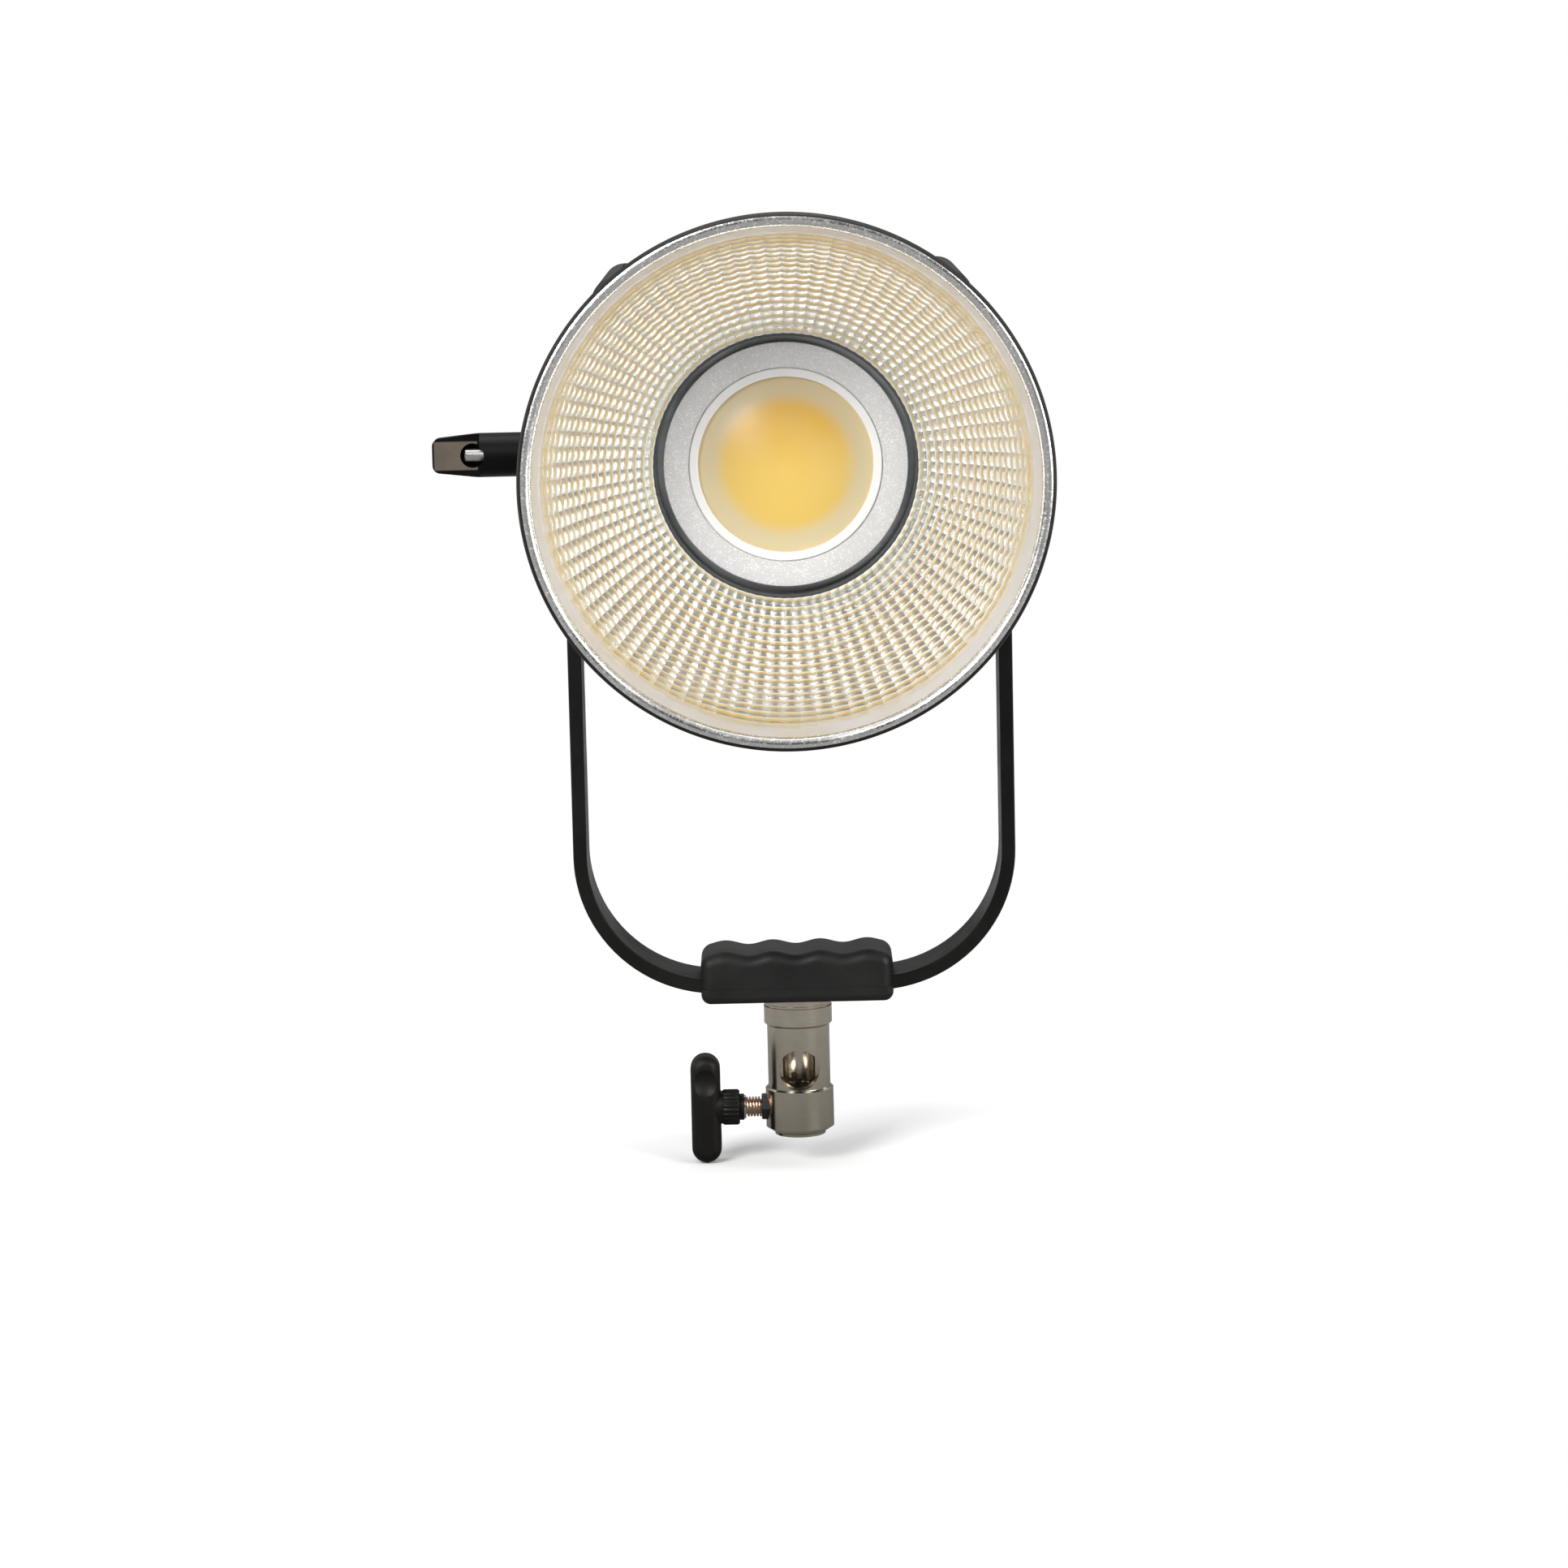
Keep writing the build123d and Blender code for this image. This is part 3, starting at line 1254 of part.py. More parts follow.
# ---- Bayonet latch: a pull pin through the throat's wall ----
latch = Axis((0, latch_y, optic_z), (1, 0, 0))
latch_plane = Plane(origin=(0, latch_y, optic_z))
latch_tip = ring_outer - 3
latch_chamber = throat_outer + 2
latch_cap = latch_chamber + 10.5
with BuildPart() as latch_body:
    with BuildSketch(latch_plane):
        lathe(throat_outer - 2, throat_outer + 0.6, latch_pin_radius + running, 3.1)
        lathe(throat_outer + 0.6, latch_chamber, latch_pin_radius + running, 5)
        lathe(latch_chamber, latch_cap, 4, 5)
        lathe(latch_cap, latch_cap + 1.5, latch_pin_radius + running, 5)
    revolve(axis=latch)
latch_body.part.label = "latch_body"
export_step(latch_body.part, "parts/latch_body.step")

with BuildPart() as latch_plunger:
    with BuildSketch(latch_plane):
        lathe(latch_tip, latch_cap + 5, 0, latch_pin_radius)
        lathe(latch_chamber + 0.1, latch_chamber + 1.2, 0, 3.7)
        lathe(latch_cap + 1.8, latch_cap + 10.5, 0, 6.5)
    revolve(axis=latch)
    fillet(latch_plunger.faces().sort_by(Axis.X)[-1].edges(), 1.5)
    chamfer(latch_plunger.faces().sort_by(Axis.X)[0].edges(), 0.4)
latch_plunger.part.label = "latch_plunger"
export_step(latch_plunger.part, "parts/latch_plunger.step")

latch_spring_start = latch_chamber + 1.3
with BuildPart() as latch_spring:
    latch_spring_rise = (latch_cap - latch_spring_start - 0.1 - latch_wire) / latch_turns
    with BuildLine() as latch_coil:
        Helix(
            pitch=latch_spring_rise,
            height=latch_spring_rise * latch_turns,
            radius=latch_pin_radius + play + latch_wire / 2,
            center=(latch_spring_start + latch_wire / 2, latch_y, optic_z),
            direction=(1, 0, 0),
        )
    with BuildSketch(Plane(origin=latch_coil.line @ 0, z_dir=latch_coil.line % 0)):
        Circle(latch_wire / 2)
    sweep()
latch_spring.part.label = "latch_spring"
export_step(latch_spring.part, "parts/latch_spring.step")
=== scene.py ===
"""Studio spotlight head in its yoke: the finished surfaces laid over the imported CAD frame."""

import json
import logging
from dataclasses import dataclass
from enum import Enum
from math import pi, radians

import bpy
import numpy as np
from mathutils import Matrix, Vector


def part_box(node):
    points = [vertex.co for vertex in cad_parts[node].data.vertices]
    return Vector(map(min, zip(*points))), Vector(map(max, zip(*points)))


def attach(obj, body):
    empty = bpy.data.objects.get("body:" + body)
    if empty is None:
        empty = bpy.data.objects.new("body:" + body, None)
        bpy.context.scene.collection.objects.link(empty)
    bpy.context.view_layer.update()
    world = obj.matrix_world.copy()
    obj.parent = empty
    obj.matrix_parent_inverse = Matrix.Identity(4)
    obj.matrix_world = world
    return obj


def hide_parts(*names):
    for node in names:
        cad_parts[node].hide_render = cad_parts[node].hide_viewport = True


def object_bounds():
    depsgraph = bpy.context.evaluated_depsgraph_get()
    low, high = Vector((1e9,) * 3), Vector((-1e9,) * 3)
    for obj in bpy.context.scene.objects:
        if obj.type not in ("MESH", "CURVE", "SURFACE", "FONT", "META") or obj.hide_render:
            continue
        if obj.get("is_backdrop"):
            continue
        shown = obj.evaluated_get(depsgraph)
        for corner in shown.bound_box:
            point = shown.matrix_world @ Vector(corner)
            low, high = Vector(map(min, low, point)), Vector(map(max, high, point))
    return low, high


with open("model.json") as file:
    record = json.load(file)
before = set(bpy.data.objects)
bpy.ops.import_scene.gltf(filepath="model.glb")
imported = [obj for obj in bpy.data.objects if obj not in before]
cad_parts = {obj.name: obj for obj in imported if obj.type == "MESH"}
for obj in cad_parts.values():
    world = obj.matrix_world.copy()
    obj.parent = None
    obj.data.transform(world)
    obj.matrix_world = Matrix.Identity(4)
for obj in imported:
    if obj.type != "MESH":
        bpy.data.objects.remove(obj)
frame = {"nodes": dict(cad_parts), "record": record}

Colour = tuple[float, float, float]
Pair = tuple[float, float]
Triple = tuple[float, float, float]
Tree = bpy.types.NodeTree
Node = bpy.types.Node
Socket = bpy.types.NodeSocket
Outputs = bpy.types.bpy_prop_collection
Material = bpy.types.Material
Mesh = bpy.types.Mesh
Piece = bpy.types.Object
log = logging.getLogger("spotlight")

OPTIC_Z = 0.3592
PIVOT_Z = 0.3637
WHITE = (1.0, 1.0, 1.0, 1.0)
FACET_COLUMNS = 89
FACET_ROWS = 18
FLOAT = "NodeSocketFloat"
VECTOR = "NodeSocketVector"


class Lay(Enum):
    """Which way the fine tool marks of a finish run."""

    NONE = "none"
    UPRIGHT = "upright"
    DEEP = "deep"
    TURNED_UPRIGHT = "turned about the upright axis"
    TURNED_OPTIC = "turned about the optical axis"


class Skin(Enum):
    """The three finishes on the reflector's one shell."""

    MIRROR = 0
    BEAD = 1
    BACK = 2


# ---- Shader tools ----


class Graph:
    """A node tree being wired: adds nodes, sets their plain inputs and links the rest."""

    def __init__(self, tree: Tree) -> None:
        """Takes the tree to wire.

        Args:
            tree: a material's, a world's or a group's node tree.
        """
        self.tree = tree

    def node(self, kind: str, settings: dict | None = None, **inputs: object) -> Node:
        """Adds one node.

        Args:
            kind: the node's type name.
            settings: properties of the node, such as its operation.
            inputs: what feed takes.

        Returns:
            The new node.
        """
        made = self.tree.nodes.new(kind)
        for name, value in (settings or {}).items():
            setattr(made, name, value)
        self.feed(made, **inputs)
        return made

    def feed(self, node: Node, **inputs: object) -> None:
        """Sets a node's inputs: links other nodes' sockets and writes plain values.

        Args:
            node: the node.
            inputs: sockets or values by the input's name, spaces written as underscores, or by number as in i0.
        """
        for name, value in inputs.items():
            socket = node.inputs[int(name[1:]) if name[1:].isdigit() else name.replace("_", " ")]
            if isinstance(value, Socket):
                self.tree.links.new(value, socket)
            else:
                socket.default_value = value

    def where(self) -> Socket:
        """Adds the object coordinates and returns their socket."""
        return self.node("ShaderNodeTexCoord").outputs["Object"]

    def noise(self, where: object, scale: object, detail: float, roughness: float = 0.5) -> Node:
        """Adds a noise texture.

        Args:
            where: the coordinates' socket.
            scale: its scale, a number or socket.
            detail: how many finer layers it has.
            roughness: how strong those are.

        Returns:
            The texture's node.
        """
        return self.node("ShaderNodeTexNoise", Vector=where, Scale=scale, Detail=detail, Roughness=roughness)

    def maths(self, operation: str, *values: object, kind: str = "ShaderNodeMath") -> Socket:
        """Adds a Math node and returns its result.

        Args:
            operation: the node's operation.
            values: what it works on, in order: numbers or sockets.
            kind: the node's type name.

        Returns:
            The result's socket.
        """
        inputs = {f"i{number}": value for number, value in enumerate(values)}
        return self.node(kind, {"operation": operation}, **inputs).outputs[0]

    def vectors(self, operation: str, *values: object) -> Socket:
        """Adds a Vector Math node and returns its result, as maths does for numbers."""
        return self.maths(operation, *values, kind="ShaderNodeVectorMath")

    def bump(self, height: Socket, distance: float, **under: Socket) -> Socket:
        """Adds a Bump node, over another's normal where one is given.

        Args:
            height: the height's socket.
            distance: how deep the relief is.
            under: the normal beneath, as Normal.

        Returns:
            The normal's socket.
        """
        return self.node("ShaderNodeBump", Height=height, Distance=distance, **under).outputs[0]

    def span(self, value: object, low: float, high: float, start: float, end: float) -> Socket:
        """Carries a value smoothly from one span to another, clamped.

        Args:
            value: the socket to carry.
            low: where the old span starts.
            high: where the old span ends.
            start: the new value at low.
            end: the new value at high.

        Returns:
            The new value's socket.
        """
        smooth = {"interpolation_type": "SMOOTHSTEP"}
        made = self.node(
            "ShaderNodeMapRange", smooth, Value=value, From_Min=low, From_Max=high, To_Min=start, To_Max=end
        )
        return made.outputs[0]

    def blend(self, share: object, first: object, second: object) -> Socket:
        """Mixes two colours.

        Args:
            share: how much of the second.
            first: colour or socket.
            second: colour or socket.

        Returns:
            The mixed colour's socket.
        """
        made = self.node("ShaderNodeMix", {"data_type": "RGBA"})
        for place, value in ((0, share), (6, first), (7, second)):
            if isinstance(value, Socket):
                self.tree.links.new(value, made.inputs[place])
            elif place:
                made.inputs[place].default_value = (*value, 1.0)
            else:
                made.inputs[place].default_value = value
        return made.outputs[2]

    def effect(self, group: Tree, **inputs: object) -> Outputs:
        """Places a node group.

        Args:
            group: the group's tree.
            inputs: its inputs by name.

        Returns:
            The group's outputs by name.
        """
        return self.node("ShaderNodeGroup", {"node_tree": group}, **inputs).outputs


def open_group(name: str, takes: dict[str, str], gives: dict[str, str]) -> tuple[Tree, Graph, Outputs, Node]:
    """Starts a shader node group.

    Args:
        name: the group's name.
        takes: input names and socket types.
        gives: output names and socket types.

    Returns:
        The tree, its graph, what it is given, by name, and its output node.
    """
    tree = bpy.data.node_groups.new(name, "ShaderNodeTree")
    for label, kind in takes.items():
        tree.interface.new_socket(name=label, in_out="INPUT", socket_type=kind)
    for label, kind in gives.items():
        tree.interface.new_socket(name=label, in_out="OUTPUT", socket_type=kind)
    graph = Graph(tree)
    return tree, graph, graph.node("NodeGroupInput").outputs, graph.node("NodeGroupOutput")


class Effects:
    """The surface effects that finishes share, each built once as a node group."""

    patch_scale = 0.025
    rub_level, rub_reach, rub_soft = 0.46, 0.3, 0.09
    scratch_stretch, scratch_bend = (1.0, 0.35, 2.2), (0.004, 0.004, 0.004)
    scratch_width, scratch_kept = 0.012, (0.5, 0.62)

    def __init__(self) -> None:
        """Builds every group."""
        self.grain = self._grain()
        self.marks = self._marks()
        self.rings = self._rings()
        self.flecks = self._flecks()
        self.rubs = self._rubs()
        self.scratches = self._scratches()

    def _grain(self) -> Tree:
        """Grain: noise at the grain's own size. Patch: slow noise some forty grains across."""
        takes, gives = {"Vector": VECTOR, "Size": FLOAT}, {"Height": FLOAT, "Patch": FLOAT}
        tree, graph, given, out = open_group("fine_grain", takes, gives)
        where = given["Vector"]
        scale = graph.maths("DIVIDE", 1.0, given["Size"])
        fine = graph.noise(where, scale, 4.0, 0.65).outputs["Fac"]
        slow = graph.noise(where, graph.maths("MULTIPLY", scale, self.patch_scale), 5.0, 0.6).outputs["Fac"]
        graph.feed(out, Height=fine, Patch=graph.span(slow, 0.3, 0.7, 0.0, 1.0))
        return tree

    def _marks(self) -> Tree:
        """Straight tool marks: noise on coordinates stretched by a different amount along each axis."""
        tree, graph, given, out = open_group(
            "tool_marks", {"Vector": VECTOR, "Stretch": VECTOR}, {"Height": FLOAT}
        )
        drawn = graph.vectors("MULTIPLY", given["Vector"], given["Stretch"])
        graph.feed(out, Height=graph.noise(drawn, 1.0, 3.0, 0.7).outputs["Fac"])
        return tree

    def _rings(self) -> Tree:
        """Turned rings: noise along the distance from the optical axis and along that axis."""
        takes = {"Vector": VECTOR, "Axis Height": FLOAT, "Pitch": FLOAT}
        tree, graph, given, out = open_group("turned_rings", takes, {"Height": FLOAT, "Radius": FLOAT})
        x, y, z = graph.node("ShaderNodeSeparateXYZ", Vector=given["Vector"]).outputs
        up = graph.maths("SUBTRACT", z, given["Axis Height"])
        squares = graph.maths("ADD", graph.maths("MULTIPLY", x, x), graph.maths("MULTIPLY", up, up))
        radius = graph.maths("SQRT", squares)
        pitch = given["Pitch"]
        across, along = graph.maths("DIVIDE", radius, pitch), graph.maths("DIVIDE", y, pitch)
        turned = graph.node("ShaderNodeCombineXYZ", X=across, Y=along)
        graph.feed(out, Height=graph.noise(turned.outputs[0], 1.0, 2.0).outputs["Fac"], Radius=radius)
        return tree

    def _flecks(self) -> Tree:
        """Bright flecks: the cells of a Voronoi pattern whose random shade is near the top."""
        takes, gives = {"Vector": VECTOR, "Size": FLOAT, "Share": FLOAT}, {"Mask": FLOAT, "Shade": FLOAT}
        tree, graph, given, out = open_group("bright_flecks", takes, gives)
        scale = graph.maths("DIVIDE", 1.0, given["Size"])
        cells = graph.node("ShaderNodeTexVoronoi", Vector=given["Vector"], Scale=scale)
        shade = graph.node("ShaderNodeSeparateColor", Color=cells.outputs["Color"]).outputs[0]
        level = graph.maths("SUBTRACT", 1.0, given["Share"])
        graph.feed(out, Mask=graph.maths("GREATER_THAN", shade, level), Shade=shade)
        return tree

    def _rubs(self) -> Tree:
        """Rubbed places: broad noise times fine noise, cut at a level set by the amount."""
        takes = {"Vector": VECTOR, "Size": FLOAT, "Amount": FLOAT}
        tree, graph, given, out = open_group("rubbed_places", takes, {"Mask": FLOAT})
        where = given["Vector"]
        scale = graph.maths("DIVIDE", 1.0, given["Size"])
        broad = graph.noise(where, scale, 2.0).outputs["Fac"]
        fine = graph.noise(where, graph.maths("MULTIPLY", scale, 9.0), 6.0, 0.7).outputs["Fac"]
        lower = graph.maths("MULTIPLY", given["Amount"], self.rub_reach)
        level = graph.maths("SUBTRACT", self.rub_level, lower)
        over = graph.maths("SUBTRACT", graph.maths("MULTIPLY", broad, fine), level)
        graph.feed(out, Mask=graph.span(over, 0.0, self.rub_soft, 0.0, 1.0))
        return tree

    def _scratches(self) -> Tree:
        """Hairline scratches: the thin borders of bent, stretched Voronoi cells, thinned by noise."""
        tree, graph, given, out = open_group(
            "hair_scratches", {"Vector": VECTOR, "Size": FLOAT}, {"Mask": FLOAT}
        )
        where = given["Vector"]
        scale = graph.maths("DIVIDE", 1.0, given["Size"])
        bend = graph.noise(where, scale, 1.0).outputs["Color"]
        drawn = graph.vectors("MULTIPLY", where, self.scratch_stretch)
        moved = graph.vectors("MULTIPLY_ADD", bend, self.scratch_bend, drawn)
        cells = graph.node("ShaderNodeTexVoronoi", {"feature": "DISTANCE_TO_EDGE"}, Vector=moved, Scale=scale)
        line = graph.span(cells.outputs["Distance"], 0.0, self.scratch_width, 1.0, 0.0)
        thin = graph.noise(where, graph.maths("MULTIPLY", scale, 2.7), 2.0).outputs["Fac"]
        kept = graph.span(thin, *self.scratch_kept, 0.0, 1.0)
        graph.feed(out, Mask=graph.maths("MULTIPLY", line, kept))
        return tree


STRETCH = {
    Lay.UPRIGHT: (2600.0, 2600.0, 25.0),
    Lay.DEEP: (2600.0, 25.0, 2600.0),
    Lay.TURNED_UPRIGHT: (9.0, 9.0, 2200.0),
}


@dataclass(frozen=True)
class Finish:
    """One hard finish: its colours, its gloss, its grain, its tool marks and its wear.

    Lengths are in metres. The patch colour lies in slow patches over the base colour, the worn colour
    where hands and cases rub, spread is how far the roughness wanders, and relief is how deep the grain
    is cut, as lay_relief is for the tool marks.
    """

    name: str
    base: Colour
    patch: Colour
    worn: Colour
    metallic: float = 0.0
    roughness: float = 0.45
    spread: float = 0.12
    grain: float = 0.0006
    relief: float = 0.00003
    lay: Lay = Lay.NONE
    lay_relief: float = 0.0
    wear: float = 0.1
    wear_size: float = 0.03
    scratch: float = 0.25
    fleck: float = 0.0
    fleck_share: float = 0.05
    coat: float = 0.0
    sheen: float = 0.0
    ior: float = 1.5
    scratch_size: float = 0.016
    worn_gloss: float = 0.35
    fleck_strength: float = 0.7
    fleck_bright: Pair = (1.5, 0.05)
    fleck_rough: float = 0.12
    ring_pitch: float = 0.0005
    lay_tint: float = 0.3
    coat_roughness: float = 0.12

    def make(self, effects: Effects) -> Material:
        """Builds the material.

        Args:
            effects: the shared node groups.

        Returns:
            The finished material.
        """
        material, graph, skin = start_material(self.name)
        where = graph.where()
        grain = graph.effect(effects.grain, Vector=where, Size=self.grain)
        patch = grain["Patch"]
        rubs = graph.effect(effects.rubs, Vector=where, Size=self.wear_size, Amount=self.wear)["Mask"]
        lines = graph.effect(effects.scratches, Vector=where, Size=self.scratch_size)["Mask"]
        worn = graph.maths("MAXIMUM", rubs, graph.maths("MULTIPLY", lines, self.scratch))
        colour = graph.blend(worn, graph.blend(patch, self.base, self.patch), self.worn)
        half = self.spread / 2
        rough = graph.span(patch, 0.0, 1.0, self.roughness - half, self.roughness + half)
        rough = graph.maths("ADD", rough, graph.maths("MULTIPLY", worn, -self.worn_gloss * self.roughness))
        if self.fleck:
            flecks = graph.effect(effects.flecks, Vector=where, Size=self.fleck, Share=self.fleck_share)
            gain, lift = self.fleck_bright
            bright = tuple(min(1.0, gain * channel + lift) for channel in self.base)
            colour = graph.blend(graph.maths("MULTIPLY", flecks["Mask"], self.fleck_strength), colour, bright)
            rough = graph.maths("ADD", rough, graph.maths("MULTIPLY", flecks["Shade"], self.fleck_rough))
        normal = graph.bump(grain["Height"], self.relief)
        if self.lay is not Lay.NONE:
            height = self.tool_marks(graph, effects, where)
            normal = graph.bump(height, self.lay_relief, Normal=normal)
            colour = graph.blend(graph.maths("MULTIPLY", height, self.lay_tint), colour, self.patch)
        graph.feed(skin, Base_Color=colour, Roughness=rough, Normal=normal)
        graph.feed(skin, Metallic=self.metallic, Sheen_Weight=self.sheen, IOR=self.ior)
        graph.feed(skin, Coat_Weight=self.coat, Coat_Roughness=self.coat_roughness)
        return material

    def tool_marks(self, graph: Graph, effects: Effects, where: Socket) -> Socket:
        """Picks the tool marks that run the finish's way.

        Args:
            graph: the material's graph.
            effects: the shared node groups.
            where: the object coordinates.

        Returns:
            The marks' height.
        """
        if self.lay is Lay.TURNED_OPTIC:
            marks = graph.effect(effects.rings, Vector=where, Axis_Height=OPTIC_Z, Pitch=self.ring_pitch)
        else:
            marks = graph.effect(effects.marks, Vector=where, Stretch=STRETCH[self.lay])
        return marks["Height"]


def start_material(name: str) -> tuple[Material, Graph, Node]:
    """Starts a material with one Principled shader.

    Args:
        name: the material's name.

    Returns:
        The material, its graph and its shader node.
    """
    material = bpy.data.materials.new(name)
    material.use_nodes = True
    material.node_tree.nodes.clear()
    graph = Graph(material.node_tree)
    skin = graph.node("ShaderNodeBsdfPrincipled")
    graph.node("ShaderNodeOutputMaterial", Surface=skin.outputs[0])
    return material, graph, skin


FINISHES: dict[str, Finish] = {
    "yoke_paint": Finish(
        "satin_black_powder", (0.004, 0.0038, 0.0034), (0.0065, 0.006, 0.0055), (0.024, 0.022, 0.019),
        roughness=0.4, grain=0.0007, relief=0.00005, ior=1.3,
    ),
    "grip_rubber": Finish(
        "matte_black_rubber", (0.0065, 0.0063, 0.006), (0.010, 0.0098, 0.0092), (0.022, 0.021, 0.02),
        roughness=0.5, grain=0.0009, relief=0.00006, sheen=0.02, ior=1.36,
    ),
    "nickel": Finish(
        "turned_nickel", (0.62, 0.565, 0.48), (0.50, 0.45, 0.37), (0.74, 0.70, 0.63), metallic=1.0,
        roughness=0.2, spread=0.1, relief=0.00001, lay=Lay.TURNED_UPRIGHT, lay_relief=0.00004, wear=0.2,
    ),
    "steel": Finish(
        "bright_steel", (0.60, 0.59, 0.57), (0.5, 0.49, 0.47), (0.75, 0.74, 0.72), metallic=1.0, roughness=0.28,
        lay=Lay.UPRIGHT, lay_relief=0.00002,
    ),
    "black_steel": Finish(
        "black_oxide_steel", (0.045, 0.044, 0.043), (0.065, 0.062, 0.058), (0.3, 0.29, 0.28), metallic=0.9,
        roughness=0.36, wear=0.15,
    ),
    "boss_black": Finish(
        "black_anodised_boss", (0.03, 0.03, 0.03), (0.045, 0.043, 0.042), (0.16, 0.15, 0.14), metallic=0.7,
        roughness=0.38, relief=0.00002,
    ),
    "spring_copper": Finish(
        "copper_washed_spring", (0.70, 0.43, 0.30), (0.55, 0.32, 0.21), (0.85, 0.62, 0.48), metallic=1.0,
        roughness=0.3, wear=0.2,
    ),
    "handle_plastic": Finish(
        "textured_black_nylon", (0.0045, 0.0042, 0.0034), (0.0075, 0.007, 0.006), (0.03, 0.027, 0.022),
        roughness=0.46, grain=0.0008, relief=0.00008, wear=0.2, wear_size=0.012, ior=1.3,
    ),
    "bush_plastic": Finish(
        "natural_acetal", (0.66, 0.65, 0.61), (0.60, 0.59, 0.55), (0.50, 0.49, 0.46), roughness=0.4
    ),
    "friction_fibre": Finish(
        "brown_friction_fibre", (0.11, 0.085, 0.06), (0.16, 0.125, 0.09), (0.22, 0.19, 0.15), roughness=0.85,
        grain=0.0012, relief=0.0001,
    ),
    "case_paint": Finish(
        "textured_black_casing", (0.006, 0.006, 0.0058), (0.010, 0.0098, 0.0095), (0.035, 0.034, 0.032),
        roughness=0.48, ior=1.35, grain=0.0010, relief=0.00010, wear=0.12,
    ),
    "rail_alu": Finish(
        "black_anodised_rail", (0.022, 0.022, 0.023), (0.034, 0.034, 0.035), (0.22, 0.22, 0.22), metallic=0.8,
        roughness=0.4, lay=Lay.DEEP, lay_relief=0.00003,
    ),
    "grille_black": Finish(
        "black_grille_enamel", (0.007, 0.007, 0.007), (0.011, 0.011, 0.011), (0.04, 0.04, 0.04), roughness=0.44,
        grain=0.0007, relief=0.00006,
    ),
    "throat_alu": Finish(
        "satin_grey_throat", (0.19, 0.20, 0.195), (0.145, 0.155, 0.15), (0.38, 0.39, 0.38), metallic=0.85,
        roughness=0.36, lay=Lay.TURNED_OPTIC, lay_relief=0.00005, wear=0.15,
    ),
    "disc_silver": Finish(
        "bead_blasted_silver", (0.84, 0.83, 0.815), (0.78, 0.77, 0.755), (0.86, 0.85, 0.84), metallic=0.6,
        roughness=0.5, spread=0.08, grain=0.0005, relief=0.00006, wear=0.0, scratch=0.05, fleck=0.0006,
        fleck_share=0.16,
    ),
    "white_plastic": Finish(
        "white_retainer", (0.92, 0.91, 0.89), (0.88, 0.87, 0.85), (0.80, 0.78, 0.75), roughness=0.35, wear=0.03,
        scratch=0.05,
    ),
    "ceramic_board": Finish(
        "white_ceramic", (0.76, 0.75, 0.71), (0.7, 0.69, 0.65), (0.6, 0.59, 0.55), roughness=0.4
    ),
    "phosphor": Finish(
        "yellow_phosphor", (0.85, 0.60, 0.06), (0.8, 0.53, 0.05), (0.85, 0.66, 0.15), roughness=0.6, wear=0.02
    ),
    "copper": Finish(
        "tarnished_copper", (0.65, 0.34, 0.22), (0.42, 0.21, 0.13), (0.8, 0.5, 0.38), metallic=1.0,
        roughness=0.34, wear=0.2,
    ),
    "fin_alu": Finish(
        "bare_fin_aluminium", (0.60, 0.61, 0.62), (0.5, 0.51, 0.52), (0.7, 0.7, 0.7), metallic=1.0,
        roughness=0.38, lay=Lay.UPRIGHT, lay_relief=0.00002,
    ),
    "fan_black": Finish(
        "black_fan_plastic", (0.014, 0.014, 0.015), (0.021, 0.021, 0.022), (0.04, 0.04, 0.04), roughness=0.42
    ),
    "board_green": Finish(
        "green_solder_mask", (0.015, 0.075, 0.035), (0.02, 0.095, 0.045), (0.06, 0.16, 0.09), roughness=0.3,
        coat=0.3,
    ),
    "display_glass": Finish(
        "dark_display_glass", (0.010, 0.012, 0.014), (0.014, 0.017, 0.02), (0.04, 0.045, 0.05), roughness=0.08,
        spread=0.05, relief=0.000003, coat=0.6, wear=0.05,
    ),
    "control_rubber": Finish(
        "black_control_rubber", (0.017, 0.017, 0.018), (0.025, 0.025, 0.026), (0.055, 0.053, 0.05),
        roughness=0.62, grain=0.0007, relief=0.00006, sheen=0.1,
    ),
    "switch_plastic": Finish(
        "black_switch_plastic", (0.015, 0.015, 0.015), (0.022, 0.022, 0.022), (0.06, 0.06, 0.06), roughness=0.34
    ),
    "socket_metal": Finish(
        "black_chrome_socket", (0.055, 0.055, 0.057), (0.04, 0.04, 0.042), (0.22, 0.22, 0.22), metallic=0.9,
        roughness=0.26, wear=0.15,
    ),
}


